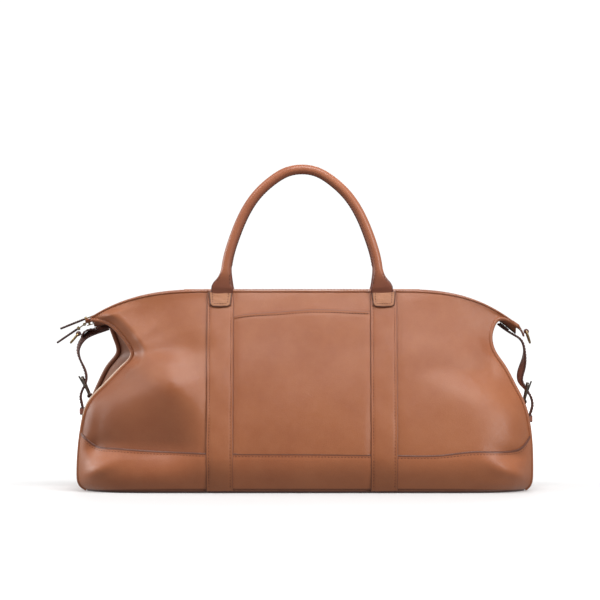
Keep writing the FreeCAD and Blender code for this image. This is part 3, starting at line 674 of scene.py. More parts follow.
def stitches(name, runs, material, pitch, length, radius):
    """Raised thread stitches along runs; each run is (points, normals) arrays."""
    verts, faces = [], []
    for points, up in runs:
        gaps = run_along(points)
        count = max(1, int(gaps[-1] / pitch))
        for k in range(count):
            at = (k + 0.5) * gaps[-1] / count
            p, q, n = (np.array([np.interp(at + d, gaps, rows[:, c]) for c in range(3)])
                       for rows, d in ((points, -0.5), (points, 0.5), (up, 0.0)))
            n, along = unit(n), unit(q - p)
            side = np.cross(along, n)
            base = len(verts)
            for t, rise, fat in STITCH_RINGS:
                centre = (p + q) / 2 + along * t * length + n * rise * radius
                for a in range(6):
                    angle = math.pi * a / 3
                    verts.append(centre + radius * fat * (math.cos(angle) * side + math.sin(angle) * n))
            faces += tube_faces(base, 6, len(STITCH_RINGS))
    return make(name, np.array(verts), faces, material)


def run_on(point, a, b, toward, lift):
    """A stitch run over point(a, b) with a and b as 1-D arrays."""
    a, b = np.broadcast_arrays(np.asarray(a, float), np.asarray(b, float))
    aa, bb = a[:, None], b[:, None]
    n = normals(point, aa, bb, np.asarray(toward, float))[:, 0]
    return point(aa, bb)[:, 0] + n * lift, n


# Length of one stitch with its gap, length of its thread, and the thread's radius.
STITCH = {
    "seam": dict(pitch=4.4, length=3.3, radius=0.42),
    "hem": dict(pitch=4.0, length=2.9, radius=0.5),
    "patch": dict(pitch=3.2, length=2.3, radius=0.4),
    "strap": dict(pitch=4.0, length=2.9, radius=0.38),
    "handle": dict(pitch=4.0, length=2.9, radius=0.32),
    "pull": dict(pitch=3.0, length=2.1, radius=0.26),
}


def sew(name, runs, kind="seam"):
    """The stitching of the given runs: light thread in the body's seams, dark thread elsewhere."""
    thread = M["thread" if kind == "seam" else "thread_dark"]
    return stitches(name + "_stitching", runs, thread, **STITCH[kind])


def ride(obj, body, slot, *nodes):
    """Attach a piece to its body and hide the CAD nodes it stands for; slot is not used."""
    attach(obj, body)
    if nodes:
        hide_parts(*nodes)
    return obj


# ---- camera, light and floor ------------------------------------------------------------------------------
CAMERA_DISTANCE, FRAME_WIDTH, ELEVATION, SENSOR = 6.2, 0.804, 1.3, 36.0
AIM = Vector((-0.0027, -0.062, 0.2559))
WORLD_LIGHT = 0.36
# Each lamp's place and target in metres, its two sides in metres, and its power in watts.
LAMPS = {
    "top_softbox": ((0.3, -0.95, 2.35), (0.0, 0.0, 0.12), (1.5, 0.9), 39.0),
    "right_key": ((1.9, -1.6, 1.2), (0.1, 0.0, 0.12), (0.8, 0.8), 24.0),
    "left_sheen": ((-1.5, -0.7, 2.0), (-0.15, 0.0, 0.22), (0.7, 0.7), 9.0),
    "left_fill": ((-2.0, 0.35, 0.7), (-0.2, 0.0, 0.15), (0.9, 0.9), 16.0),
    "back_fill": ((0.2, 2.4, 1.6), (0.0, 0.0, 0.15), (1.8, 1.8), 24.0),
}
ROOM_RADIUS, DOME_RADIUS, ROOM_SIDES = 7000.0, 7140.0, 48


def add_object(name, data):
    obj = bpy.data.objects.new(name, data)
    bpy.context.scene.collection.objects.link(obj)
    return obj


def look(obj, place, target):
    """Put a camera or lamp at a place and point it at the target."""
    obj.location = place
    obj.rotation_euler = (Vector(target) - Vector(place)).to_track_quat("-Z", "Y").to_euler()


def make_stage():
    scene = bpy.context.scene
    scene.view_settings.view_transform = "Standard"
    camera = add_object("camera", bpy.data.cameras.new("camera"))
    rise = math.radians(ELEVATION)
    look(camera, AIM + CAMERA_DISTANCE * Vector((0, -math.cos(rise), math.sin(rise))), AIM)
    camera.data.sensor_width = SENSOR
    camera.data.lens = SENSOR * CAMERA_DISTANCE / FRAME_WIDTH
    camera.data.clip_end = 50.0
    scene.camera = camera

    world = bpy.data.worlds.new("studio")
    world.use_nodes = True
    background = world.node_tree.nodes["Background"]
    background.inputs["Color"].default_value = (1.0, 1.0, 1.0, 1.0)
    background.inputs["Strength"].default_value = WORLD_LIGHT
    scene.world = world

    for name, (place, target, size, power) in LAMPS.items():
        data = bpy.data.lights.new(name, "AREA")
        data.shape = "RECTANGLE"
        data.size, data.size_y = size
        data.energy = power
        look(add_object(name, data), place, target)

    rim = circle(1.0, ROOM_SIDES)
    floor = make("studio_floor", [(ROOM_RADIUS * x, ROOM_RADIUS * y, 0.0) for x, y in rim],
                 [tuple(range(ROOM_SIDES))], white("studio_floor", 0.62, 0.86, near=0.22))
    levels = np.radians(np.linspace(-30, 90, 13)[:-1])
    dome_verts = [(DOME_RADIUS * math.cos(tilt) * x, DOME_RADIUS * math.cos(tilt) * y,
                   DOME_RADIUS * math.sin(tilt)) for tilt in levels for x, y in rim]
    dome_faces = tube_faces(0, ROOM_SIDES, len(levels))
    dome_faces.pop(-2)                       # the dome is open below
    dome = make("studio_backdrop", dome_verts, dome_faces, white("studio_backdrop", 0.0, 1.05))
    for piece in (floor, dome):
        piece.visible_diffuse = piece.visible_glossy = piece.visible_transmission = False
    dome.visible_shadow = False


# ---- leather shell ----------------------------------------------------------------------------------------
BANDS = (("left", -BAND_CENTRE), ("right", BAND_CENTRE))
FRONT_SIZE, BACK_OVERLAP, BOOT_OVERLAP = (600, 220), 0.004, 0.008
BOOT_STITCH, POCKET_HEM, PATCH_STITCH = 0.93, 0.984, 0.16      # stitched rows, as shares of their piece
WELT_TOP, WELT_STATIONS, WELT_RADIUS = 0.985, 150, 2.9
RIM_HIGHLIGHT_FROM, RIM_HIGHLIGHT_TO = 52, 110                                     # welt stations that carry a painted highlight along the front's left rim


def boot_relief(a, b):
    """A rounded turned edge above a sewn groove, and a softer foot."""
    return 0.35 * bell(b, 0.985, 0.02) - 0.45 * bell(b, BOOT_STITCH, 0.012) - 0.5 * (1 - smoothstep(b / 0.6))


def boot_burnish_and_shade(a, b):
    # Darker along the boot's turned top edge, edge burnishing together with a painted shade line along the
    # boot seam; darker towards the foot too.
    return 0.95 * smoothstep((b - 0.955) / 0.02) + 0.5 * smoothstep((0.05 - b) / 0.04)


def band_relief(a, b):
    """Grooves along both stitched rows, puckered by the thread."""
    seam = bell(np.abs(a - 0.5), 0.41, 0.028)
    return -0.55 * seam + 0.12 * seam * np.sin(b * 380) + 0.25 * np.sin(b * 31 + 2) * np.cos(4 * a)


def make_panels(name, side):
    """The front's or back's upper panel, boot and two bands, with their stitching."""
    toward = (0, side, 0)

    def upper(a, b):
        seam = boot_seam(a, side) - BACK_OVERLAP
        return panel(a, seam + (PANEL_TOP - seam) * b, side)

    def lower(a, b):
        return panel(a, (boot_seam(a, side) + BOOT_OVERLAP) * b, side)

    def patina(a, b):
        """Painted shade: the front's leather darkened under the big fold at its left end, where the fold's
        shadow falls.
        """
        x, z = np.moveaxis(upper(a, b), -1, 0)[[0, 2]]
        under = smoothstep((crease_height(x) - z - 4.0) / 26.0)
        return 0.34 * under * smoothstep((-x - 104.0) / 90.0) * (side < 0)

    # The front panel gets the painted shade under its big fold.
    top = sheet(name + "_panel_leather", upper, (200, 90), FRONT_SIZE, toward, M["body"], burnish_and_shade=patina)
    ride(top, "bag", "leather_body", name + "_panel")
    boot = sheet(name + "_boot_leather", lower, (200, 44), (600, 50), toward, M["boot"], lift=1.5,
                 edge_wear=1.0, relief=boot_relief, burnish_and_shade=boot_burnish_and_shade)
    ride(boot, "bag", "leather_body", name + "_boot")
    runs = [run_on(lower, np.linspace(0.01, 0.99, 220), BOOT_STITCH, toward, 1.3)]
    for label, centre in BANDS:
        def strip(a, b, centre=centre):
            return panel_x(centre + (a - 0.5) * BAND_WIDTH, b, side)

        band = sheet(f"{name}_band_{label}_leather", strip, (26, 110), (BAND_WIDTH, 270), toward, M["body"],
                     b_span=(-0.004, 0.985), lift=2.7, edge_wear=0.6, relief=band_relief)
        ride(band, "bag", "leather_body", f"{name}_band_{label}")
        runs += [run_on(strip, t, np.linspace(0.012, 0.975, 160), toward, 2.25) for t in (0.09, 0.91)]
    ride(sew(name, runs), "bag", "leather_body")


def make_pocket():
    def pocket(a, b):
        x = (a - 0.5) * 2 * POCKET_HALF
        low = BOOT_SEAM(x)[..., 0] + 0.006
        return panel_x(x, low + (POCKET_LINE(a)[..., 0] - low) * b, -1)

    def relief(a, b):
        sag = 1.4 * smoothstep((b - 0.75) / 0.25) * np.sin(math.pi * np.clip(a, 0, 1)) ** 0.7
        return sag - 0.45 * bell(b, POCKET_HEM, 0.006) - 0.6 * bell(np.minimum(a, 1 - a), 0.0, 0.02)

    front = sheet("pocket_leather", pocket, (70, 70), (2 * POCKET_HALF, 180), (0, -1, 0), M["body"], lift=1.7,
                  edge_wear=0.75, relief=relief)
    ride(front, "bag", "leather_body", "front_pocket")
    hem = [run_on(pocket, np.linspace(0.01, 0.99, 120), POCKET_HEM, (0, -1, 0), 2.5)]
    ride(sew("pocket", hem, "hem"), "bag", "leather_body")


def make_patches(name, side):
    """The two patches that hold one handle's feet."""
    toward = (0, side, 0)
    runs = []
    for label, centre in BANDS:
        def patch(a, b, centre=centre):
            width = 29.0 - 5.0 * (1 - b) - 5.5 * np.clip(1 - b / 0.14, 0, 1) ** 2
            return panel_x(centre + (a - 0.5) * width, 0.915 + 0.072 * b, side)

        piece = sheet(f"{name}_handle_patch_{label}_leather", patch, (12, 10), (29, 20), toward, M["patch"],
                      lift=5.4, thick=3.2, edge_wear=1.0,
                      relief=lambda a, b: 0.35 * np.sin(9 * a + 4 * b) * np.sin(11 * b))
        ride(piece, "bag", "leather_body", f"{name}_handle_patch_{label}")
        runs.append(run_on(patch, np.linspace(0.14, 0.86, 30), PATCH_STITCH, toward, 5.5))
        runs += [run_on(patch, t, np.linspace(0.2, 0.95, 30), toward, 5.5) for t in (0.12, 0.88)]
    ride(sew(name + "_patch", runs, "patch"), "bag", "leather_body")


def make_gusset(name, end):
    """One end of the bag: its upper gusset and its boot."""
    surface, toward = over(gusset, end), (end, 0, 0.1)
    upper = sheet(name + "_gusset_leather", surface, (40, 90), (140, 210), toward, M["gusset"],
                  b_span=(END_BOOT_TOP - 0.004, 0.985))
    ride(upper, "bag", "leather_body", name + "_gusset")
    lower = sheet(name + "_boot_leather", surface, (40, 26), (140, 75), toward, M["boot"],
                  b_span=(0.0, END_BOOT_TOP + 0.01), lift=0.9)
    ride(lower, "bag", "leather_body", name + "_boot")
    runs = [run_on(surface, np.linspace(0.03, 0.97, 60), END_BOOT_TOP - 0.006, toward, 0.95)]
    ride(sew(name + "_boot", runs), "bag", "leather_body")


def make_welt(name, side, label, end):
    """The rolled seam where one side meets one gusset."""
    v = np.linspace(0.0, WELT_TOP, WELT_STATIONS)
    line = panel(np.full(v.shape, 0.0 if end < 0 else 1.0), v, side)
    line[:, 1] = side * (DEPTH_AT(v)[..., 0] - 1.0)
    line[:, 0] += end * 0.4
    ahead = unit(np.gradient(line, axis=0))
    across = unit(np.cross(ahead, np.array([0.0, 1.0, 0.0])))
    up = np.cross(across, ahead)
    # The back's left welt takes the gussets' paler leather: the same painted light.
    skin = "gusset" if side > 0 and end < 0 else "body"
    welt = sweep(f"{name}_{label}_welt", line, across, up, circle(WELT_RADIUS), M[skin], wear_and_shade=0.10)
    ride(welt, "bag", "leather_body")
    if side < 0 and end < 0:
        # Painted highlight: a pale bead along part of the front's left rim.
        part = slice(RIM_HIGHLIGHT_FROM, RIM_HIGHLIGHT_TO)
        thin = np.sin(np.linspace(0, math.pi, RIM_HIGHLIGHT_TO - RIM_HIGHLIGHT_FROM)) ** 0.4
        bead = circle(1.25, 8)[None] * thin[:, None, None]
        outward = -math.copysign(2.1, across[(RIM_HIGHLIGHT_FROM + RIM_HIGHLIGHT_TO) // 2, 0])
        rim = line[part] + across[part] * outward + [0, -1.6, 0]
        ride(sweep("left_raw_edge", rim, across[part], up[part], bead, M["painted_rim_highlight"]), "bag", "leather_body")


def make_shell():
    for name, side in SIDES:
        make_panels(name, side)
    make_pocket()
    for name, side in SIDES:
        make_patches(name, side)
    for name, end in ENDS:
        make_gusset(name, end)
    for name, side in SIDES:
        for label, end in ENDS:
            make_welt(name, side, label, end)


# ---- base, lining and top ---------------------------------------------------------------------------------
def along_loop(points, count):
    """Evenly spaced points round a closed loop."""
    closed = np.vstack([points, points[:1]])
    run = run_along(closed)
    even = np.linspace(0, run[-1], count, endpoint=False)
    return np.stack([np.interp(even, run, closed[:, c]) for c in range(3)], axis=-1)


def sole_line(count, outset=0.0):
    """The boots' lower edge all the way round, eased at the corners and moved out by outset."""
    u, t = np.linspace(0.0, 1.0, 120), np.linspace(0.08, 0.92, 30)
    loop = np.vstack([panel(u, 0.0, -1), gusset(t, 0.0, 1), panel(u[::-1], 0.0, 1), gusset(t[::-1], 0.0, -1)])
    loop = along_loop(loop, count)
    for _ in range(2):
        loop = (np.roll(loop, 1, axis=0) + 2 * loop + np.roll(loop, -1, axis=0)) / 4
    away = unit(np.cross(np.roll(loop, -1, axis=0) - np.roll(loop, 1, axis=0), UP))
    loop = loop + away * outset
    loop[:, 2] = 0.0
    return loop, away


def make_base():
    ring, away = sole_line(640, 0.4 - PIPING_RADIUS)
    ring[:, 2] = PIPING_RADIUS
    profile = circle(PIPING_RADIUS)
    # Painted shade: the piping darkened on its lower half, along the line where it meets the floor.
    painted_underside_shade = 0.95 * smoothstep((1.2 - profile[:, 1]) / 1.6)
    piping = sweep("bottom_piping_leather", ring, away, np.tile(UP, (len(ring), 1)), profile, M["welt"],
                   wear_and_shade=painted_underside_shade, closed=True)
    ride(piping, "bag", "leather_trim", "bottom_piping")

    rim, _ = sole_line(200, 0.6 - 2 * PIPING_RADIUS)
    centre = np.array([SOLE_SHIFT, 0.0, 0.0])
    # Rings from the middle of the flat upper face outwards, and back in under the crowned lower face.
    lower = ((1.0, 2.4), (0.985, 0.45), (0.9, 0.15), (0.6, 0.3), (0.3, 0.3))
    layers = [(share, 2.6) for share, _ in lower[::-1]] + list(lower)
    verts = [centre + (rim - centre) * share + [0, 0, z] for share, z in layers]
    sole = make("bottom_panel_leather", verts, tube_faces(0, len(rim), len(layers)), M["sole"])
    fix_normals(sole)
    ride(sole, "bag", "leather_body", "bottom_panel")


def make_lining():
    cloth = dict(lift=-2.8, thick=0.7, edge_wear=0.0)
    for name, side in SIDES:
        piece = sheet(name + "_lining", over(panel, side), (90, 44), (600, 250), (0, side, 0), M["lining"],
                      a_span=(0.03, 0.97), b_span=(0.02, 0.975), **cloth,
                      relief=lambda a, b: -0.5 - 0.5 * np.sin(60 * a + 9 * b) * np.sin(14 * b))
        ride(piece, "bag", "lining_cloth", "lining")
    for name, end in ENDS:
        piece = sheet(name + "_lining", over(gusset, end), (24, 50), (140, 220), (end, 0, 0.1), M["lining"],
                      a_span=(0.05, 0.95), b_span=(0.04, 0.9), **cloth)
        ride(piece, "bag", "lining_cloth", "lining")


def zip_z(x):
    """Height of the zip's arc at x."""
    return ZIP_TOP - ZIP_RADIUS + np.sqrt(ZIP_RADIUS ** 2 - np.asarray(x, float) ** 2)


def facing(x, t, side):
    """The leather between the ridge (t 0) and the zip (t 1)."""
    x, t = np.broadcast_arrays(np.asarray(x, float), np.asarray(t, float))
    edge = panel_x(x, np.full(x.shape, PANEL_TOP), side)
    inside = np.abs(x) <= MOUTH_HALF + 0.5
    outer_y = np.where(inside, FACING_HINGE_Y - 1.2, np.abs(edge[..., 1]) - 2.4)
    outer_z = np.where(inside, FACING_HINGE_Z + 0.2, edge[..., 2] - 0.6)
    y = outer_y + (FACING_INNER_Y - 1.5 - outer_y) * t
    sag = 1.6 * np.sin(math.pi * t) * np.minimum(1, (outer_y - 8) / 30)
    z = outer_z + (zip_z(x) + 1.6 - outer_z) * t - sag
    return np.stack([x, side * y, z], axis=-1)


TOOTH_PITCH = 2.7
TOOTH_PLAN = ((-0.85, 3.7), (0.85, 3.7), (0.62, -0.35), (-0.62, -0.35))     # (along, across) corners


def tooth(x, side):
    """Corners of one zip tooth standing on the arc at x: four layers, the lowest and highest drawn in."""
    z = float(zip_z(x))
    lean = math.asin(x / ZIP_RADIUS)
    out = []
    for rise, tight, narrow in ((-1.25, 0.72, 0.9), (-0.85, 1.0, 1.0), (0.85, 1.0, 1.0), (1.25, 0.72, 0.9)):
        for dx, dy in TOOTH_PLAN:
            along, across = dx * tight, 1.6 + (dy - 1.6) * narrow
            out.append((x + along * math.cos(lean) + rise * math.sin(lean), side * across,
                        z + rise * math.cos(lean) - along * math.sin(lean)))
    return out


def teeth(name, side, x_span):
    """One row of teeth; the two rows stand half a pitch apart, so that they mesh."""
    verts, faces = [], []
    first = x_span[0] + (0.25 if side < 0 else 0.75) * TOOTH_PITCH
    for k in range(int((x_span[1] - x_span[0]) / TOOTH_PITCH)):
        faces += tube_faces(len(verts), 4, 4)
        verts += tooth(first + k * TOOTH_PITCH, side)
    obj = make(name, verts, faces, M["zip"])
    obj.data.polygons.foreach_set("use_smooth", [False] * len(obj.data.polygons))
    fix_normals(obj)
    return obj


def tape(name, side, x_span):
    """The cloth beside one row of teeth."""
    def surface(a, b):
        x, t = np.broadcast_arrays(np.asarray(a, float), np.asarray(b, float))
        y = TAPE_INNER_Y + (TAPE_OUTER_Y - TAPE_INNER_Y) * t
        return np.stack([x, side * y, zip_z(x) + 0.4 * np.sin(math.pi * t)], axis=-1)
    length, width = x_span[1] - x_span[0], TAPE_OUTER_Y - TAPE_INNER_Y
    return sheet(name, surface, (int(length / 5), 5), (length, width), (0, 0, 1), M["tape"], a_span=x_span,
                 lift=0.3, thick=0.6, edge_wear=0.0)


def hang_end(obj, label, side, slot, *nodes):
    """A piece at the zip's end: hide the CAD nodes it stands for and bake its transform into its mesh."""
    if nodes:
        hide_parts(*nodes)
    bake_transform(obj)


def make_mouth(name, side):
    """One half of the mouth: facing, teeth and tape, which fold down together."""
    body, surface, span = "mouth_" + name, over(facing, side), (-MOUTH_HALF, MOUTH_HALF)
    flap = sheet(name + "_facing_leather", surface, (90, 10), (352, 36), UP, M["body"], a_span=span, lift=0.7,
                 thick=FACING_THICK, edge_wear=0.1,
                 relief=lambda a, b: 0.25 * np.sin(a / 13.0) * np.sin(math.pi * b))
    ride(flap, body, "leather_body", name + "_mouth_facing")
    x = np.linspace(span[0] + 3, span[1] - 3, 120)
    ride(sew(name + "_facing", [run_on(surface, x, t, UP, 0.75) for t in (0.9, 0.1)]), body, "leather_body")
    ride(teeth(name + "_zip_teeth", side, span), body, "brass_hardware", name + "_zip_chain")
    ride(tape(name + "_zip_cloth", side, span), body, "zip_tape", name + "_zip_tape")


def make_zip_end(label, span, name, side):
    """One side of the zip beyond the mouth."""
    piece, surface = f"{label}_{name}_end_", over(facing, side)
    flap = sheet(piece + "facing_leather", surface, (44, 10), (115, 25), UP, M["body"], a_span=span, lift=0.7,
                 thick=FACING_THICK, edge_wear=0.1)
    hang_end(flap, label, side, "leather_body", label + "_end_facing")
    x = np.linspace(span[0] + 3, span[1] - 3, 50)
    hang_end(sew(piece + "facing", [run_on(surface, x, 0.9, UP, 0.75)]), label, side, "leather_body")
    chain = (max(span[0], CHAIN_LEFT_X), span[1])
    hang_end(teeth(piece + "teeth", side, chain), label, side, "brass_hardware", label + "_end_zip")
    hang_end(tape(piece + "cloth", side, chain), label, side, "zip_tape", label + "_end_zip")


def make_top_welt(name, side):
    """The flat bead along the ridge, which the facing is sewn to."""
    u = np.linspace(0.004, 0.996, 260)
    line = panel(u, np.full(u.shape, PANEL_TOP), side)
    line[:, 1] -= side * 1.0
    line[:, 2] += 0.3
    ahead = unit(np.gradient(line, axis=0))
    across = unit(np.cross(ahead, UP))
    bead = circle(1.0) * np.array([2.3, 1.5])
    welt = sweep(name + "_top_welt", line, across, np.cross(across, ahead), bead, M["body"], wear_and_shade=0.25)
    ride(welt, "bag", "leather_body")


def make_top():
    for name, side in SIDES:
        make_mouth(name, side)
    for label, span in (("left", (ZIP_LEFT_X, -MOUTH_HALF - 1)), ("right", (MOUTH_HALF + 1, ZIP_RIGHT_X))):
        for name, side in SIDES:
            make_zip_end(label, span, name, side)
    for name, side in SIDES:
        make_top_welt(name, side)


# ---- handles ----------------------------------------------------------------------------------------------
# Half of a handle's centre line, from its foot to its middle: (x, height above the pivot).
HANDLE_LINE = [
    (107.4, -9), (107, 0), (105, 8), (101, 33.5), (92, 66),
    (78, 99.5), (63, 123), (40, 145), (19, 157), (0, 160),
]
# Height above the pivot -> half width, half thickness and squareness of the leg.
LEG = np.array([
    (-9, 14.2, 1.3, 0.42), (-3, 14.6, 1.7, 0.45), (0, 14.7, 2.3, 0.5), (4, 13.2, 2.6, 0.52),
    (9, 10.7, 3.2, 0.62), (14, 8.7, 4.3, 0.76), (19, 7.3, 5.4, 0.9), (25, 6.3, HANDLE_RADIUS, 1.0),
    (400, HANDLE_RADIUS, HANDLE_RADIUS, 1.0),
])
# Heights where the roll's stitching starts, and where the legs' edge stitching starts and stops.
SEAM_START, LEG_SEAM = 27, (6, 21)


def make_handles():
    """Both handles: flared flat feet, a round roll, and a raised seam with stitching on its inner side."""
    half = [(x, 0.0, h) for x, h in HANDLE_LINE]
    line, _ = resample([(-x, y, h) for x, y, h in half[:-1]] + half[::-1], 240)
    ahead = unit(np.gradient(line, axis=0))
    across = np.cross(ahead, [0.0, 1.0, 0.0])
    depth = np.tile([0.0, 1.0, 0.0], (len(line), 1))
    height = line[:, 2]
    wide, thick, square = (np.interp(height, LEG[:, 0], LEG[:, k])[:, None] for k in (1, 2, 3))
    angles = np.linspace(0, 2 * math.pi, 28, endpoint=False)
    c, s = np.cos(angles), np.sin(angles)
    seam = bell(angles, math.pi, 0.16)
    lumps = 1 + 0.008 * np.sin(np.arange(len(line)) / 7.3)[:, None] * np.cos(2 * angles)
    swell = lumps + 0.09 * seam * smoothstep((height[:, None] - 24) / 14)
    profile = np.stack([wide * np.sign(c) * np.abs(c) ** square * swell,
                        thick * np.sign(s) * np.abs(s) ** square * swell], axis=-1)
    flat = 1 - smoothstep((height[:, None] - 2) / 24)
    rim, inner = smoothstep((np.abs(c) - 0.82) / 0.16), smoothstep((0.15 - c) / 1.1)
    # Darker: the flat feet, their rims (edge burnishing), the seam, and, as painted shade, the roll's inner
    # half, turned away from the light.
    wear_and_shade = 0.66 * flat + 0.75 * rim * flat ** 0.5 + (0.42 * inner + 0.25 * seam) * (1 - flat)

    keep = height > SEAM_START
    inside = line[keep] - across[keep] * (HANDLE_RADIUS * 1.05)
    rows = [(inside + np.array([0, offset, 0.0]), -across[keep]) for offset in (-1.5, 1.5)]
    for end in (-1, 1):
        leg = (height > LEG_SEAM[0]) & (height < LEG_SEAM[1]) & (np.sign(line[:, 0]) == end)
        for hand in (-1, 1):
            for face in (-1, 1):
                edge = line[leg] + across[leg] * hand * wide[leg] * 0.8
                edge = edge + np.array([0, face, 0]) * thick[leg] * 0.94
                rows.append((edge, np.tile([0.0, float(face), 0.0], (leg.sum(), 1))))

    tilt = math.radians(HANDLE_LEAN)
    for name, side in SIDES:
        def lean(points, side=side):
            """Stand the handle on its pivot, leaning inwards, with its feet following the bag's slope."""
            y, h = points[..., 1], points[..., 2]
            y = side * HANDLE_PIVOT_Y + y - side * h * math.sin(tilt) - side * 0.24 * np.clip(-h, 0, None)
            return np.stack([points[..., 0], y, HANDLE_PIVOT_Z + h * math.cos(tilt)], axis=-1)

        body = "handle_" + name
        roll = sweep(name + "_handle_leather", line, across, depth, profile, M["handle"],
                     wear_and_shade=np.clip(wear_and_shade, 0, 1))
        verts = np.array([v.co for v in roll.data.vertices]) / MM
        roll.data.vertices.foreach_set("co", (lean(verts) * MM).ravel())
        roll.data.update()
        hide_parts(name + "_handle")
        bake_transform(roll)
        runs = [(lean(points), out) for points, out in rows]
        ride(sew(name + "_handle", runs, "handle"), body, "leather_handle")


# ---- end tabs, side straps, pulls -------------------------------------------------------------------------
# What hangs at each end. Lines are (x, z) points; the keeper is its x span and z span; the heel is the buckle
# frame's bar, which the chape's loop goes round; turn is how the strap twists (see strap).
END_PARTS = {
    "left": {
        "skin": "strap",
        "turn": (24.0, -0.3, 0.0, 0.5),
        "tab": [(-278, 214.3), (-286, 214.6), (-293, 212), (-297, 207.6), (-298.2, 204)],
        "anchor": [(-255, 219.4), (-263, 216.9), (-272, 213)],
        "strap": [(-262, 219), (-273, 215), (-284, 210.5), (-293, 205), (-299.5, 197), (-302.8, 187),
                  (-300.5, 175), (-295, 163), (-291.8, 151), (-293, 142), (-296.5, 134), (-299.5, 124),
                  (-297.5, 112), (-296.5, 100), (-296, 85), (-299, 63)],
        "heel": (-287.0, 125.0),
        "chape": [(-293.8, 77), (-291.9, 88), (-289.2, 100), (-286.9, 112)],
        "keeper": ((-300.6, -290.4), (99.5, 109.0)),
    },
    "right": {
        "skin": "body",
        "turn": (-20.0, 0.26, 0.42, 0.62),
        "tab": [(286, 219.5), (292, 217), (297.2, 212), (300, 205.5)],
        "anchor": [(267.6, 222.8), (273, 218.5), (279, 213.7)],
        "strap": [(265, 222), (277, 213), (287, 207), (296, 200.5), (299.6, 193.5), (301, 185), (300.6, 175),
                  (298, 163), (295.3, 152), (295.8, 144.5), (299.3, 138.8), (305, 131), (310.5, 121),
                  (311.5, 110), (308, 98), (306.5, 80), (308, 66), (310.5, 54)],
        "heel": (300.5, 117.0),
        "chape": [(302.2, 75), (301.0, 87), (299.6, 100)],
        "keeper": ((303.0, 311.6), (89.5, 98.5)),
    },
}


def strap(name, points, material, outward, width, thick, taper=0.0, crown=0.25, stations=110, stitched=0.0,
          turn=(0.0, 0.0, 0.5, 1.0)):
    """A strap whose centre line runs through (x, z) points, and its stitch runs on the outward face.

    taper is the length of its narrowing tip, and stitched how far in from the edges its stitching runs.
    turn is an angle about its own line, and the shares of its length where that starts, peaks and stops.
    """
    line, length = resample([(x, 0.0, z) for x, z in points], stations)
    side = np.tile([0.0, 1.0, 0.0], (len(line), 1))
    up = np.cross(unit(np.gradient(line, axis=0)), side)
    if np.dot(up[len(up) // 2], outward) < 0:
        up = -up
    angle = math.radians(turn[0]) * bump(np.linspace(0, 1, len(line))[:, None], *turn[1:])
    side, up = np.cos(angle) * side + np.sin(angle) * up, np.cos(angle) * up - np.sin(angle) * side
    profile = np.repeat(slab(width, thick, crown=crown)[None], len(line), axis=0)
    last = len(line) - 3
    if taper:
        left = (length - np.linspace(0, length, len(line))) / taper
        profile[..., 0] *= (0.5 * np.sqrt(np.clip(left, 0.0004, 1.0)) + 0.5 * np.clip(left, 0.02, 1))[:, None]
        last = int(len(line) * (1 - taper * 1.2 / length)) - 2
    wear_and_shade = np.tile(slab_wear(width, thick), (len(line), 1))
    wear_and_shade[0] = wear_and_shade[-1] = 0.9
    obj = sweep(name, line, side, up, profile, material, wear_and_shade=wear_and_shade)
    keep = slice(3, last)
    across, high = side[keep] * (width / 2 - stitched), up[keep] * (thick / 2 + crown * 0.3)
    return obj, [(line[keep] + hand * across + high, up[keep]) for hand in (-1, 1)]


def keeper_ring(x_span, half_y, z):
    """A rounded rectangle, seen from above, that goes round the strap and its chape."""
    (x0, x1), corner = x_span, 2.6
    cx, half_x = (x0 + x1) / 2, (x1 - x0) / 2 - 0.6
    points = []
    for k, (sx, sy) in enumerate([(1, 1), (-1, 1), (-1, -1), (1, -1)]):
        for a in np.radians(np.linspace(90 * k, 90 * (k + 1), 7)):
            points.append((cx + sx * (half_x - corner) + corner * math.cos(a),
                           sy * (half_y - corner) + corner * math.sin(a), z))
    return along_loop(np.array(points), 60)


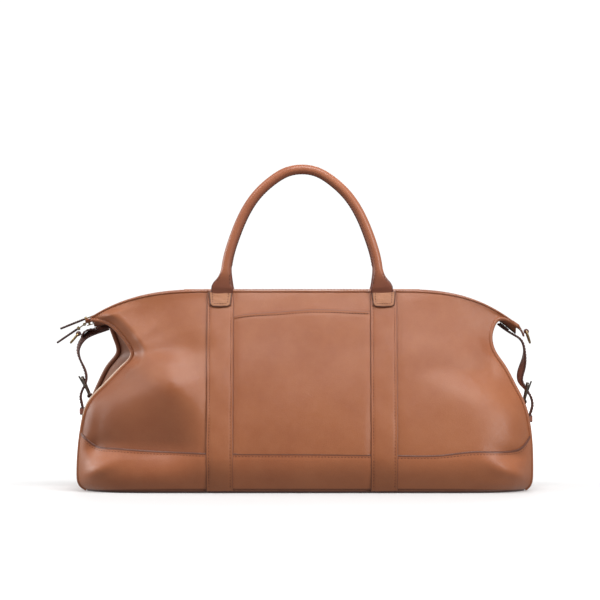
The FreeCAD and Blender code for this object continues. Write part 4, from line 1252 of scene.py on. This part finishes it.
def make_straps():
    for name, way in ENDS:
        end, out = END_PARTS[name], np.array([way, 0.0, 0.0])
        x, z = end["heel"]
        turns = np.radians(np.linspace(0, 240, 9) if way < 0 else np.linspace(180, -60, 9))
        loop = [(x + CHAPE_LOOP * math.cos(a), z + CHAPE_LOOP * math.sin(a)) for a in turns]
        # (piece, centre line, leather, material slot, outward direction, sizes)
        pieces = (
            ("side_strap", end["strap"], "strap", "leather_handle", out,
             dict(width=STRAP_WIDTH, thick=STRAP_THICK, taper=9.0, stitched=2.6, turn=end["turn"])),
            ("strap_anchor", end["anchor"], "trim", "leather_trim", UP,
             dict(width=24.0, thick=2.8, stitched=3.0, stations=20)),
            ("end_tab", end["tab"], end["skin"], "leather_trim", out,
             dict(width=26.0, thick=2.0, stitched=2.8, stations=40)),
            ("buckle_chape", end["chape"] + loop, "strap", "leather_trim", out,
             dict(width=20.0, thick=1.7, stitched=2.6, stations=70)),
        )
        runs = []
        for part, points, skin, slot, toward, sizes in pieces:
            piece, sewn = strap(f"{name}_{part}_leather", points, M[skin], toward, **sizes)
            ride(piece, "bag", slot, f"{name}_{part}")
            runs += sewn

        x_span, (z0, z1) = end["keeper"]
        ring = keeper_ring(x_span, KEEPER_HALF, (z0 + z1) / 2)
        ahead = unit(np.roll(ring, -1, axis=0) - np.roll(ring, 1, axis=0))
        rise = np.tile(UP, (len(ring), 1))
        keeper = sweep(name + "_keeper_leather", ring, rise, np.cross(ahead, rise),
                       slab(z1 - z0, KEEPER_THICK, 4, 0.15), M["strap"],
                       wear_and_shade=slab_wear(z1 - z0, KEEPER_THICK, 4), closed=True)
        ride(keeper, "bag", "leather_trim", name + "_keeper")
        ride(sew(name + "_strap", runs, "strap"), "bag", "leather_handle")


# Each pull: its angle below horizontal, and how far from its pivot the leather starts and stops.
PULLS = {"inner": (21.7, 24.0, 60.0), "outer": (34.0, 11.0, 45.0)}


def make_pulls():
    pivots = {joint["name"]: np.array(joint["pos_m"]) / MM for joint in frame["joints"]}
    for name, (droop, start, stop) in PULLS.items():
        body, angle = "pull_" + name, math.radians(droop)
        x, _, z = pivots[name + "_pull_swing"]
        points = [(x - d * math.cos(angle), z - d * math.sin(angle)) for d in np.linspace(start, stop, 6)]
        piece, runs = strap(name + "_pull_leather", points, M["trim"], UP, 9.0, 2.7, taper=5.0, stitched=1.5,
                            stations=48, crown=0.15)
        ride(piece, body, "leather_trim", name + "_pull_tab")
        ride(sew(name + "_pull", runs, "pull"), body, "leather_trim")


# The material of each CAD node that stays, by the end of its name.
HARDWARE = {
    "slider": "brass", "pull_link": "brass", "_ring": "brass", "buckle_frame": "steel",
    "buckle_prong": "steel", "ring_chape": "trim", "handle_core": "rope", "base_board": "board",
}


def dress_hardware():
    """Better materials on the CAD nodes that stay."""
    for node, obj in frame["nodes"].items():
        for key, material in HARDWARE.items():
            if node.endswith(key):
                obj.data.materials.clear()
                obj.data.materials.append(M[material])
                obj.data.polygons.foreach_set("use_smooth", [True] * len(obj.data.polygons))


# ---- the whole bag ----------------------------------------------------------------------------------------
make_stage()
make_shell()
make_base()
make_lining()
make_top()
make_handles()
make_straps()
make_pulls()
dress_hardware()
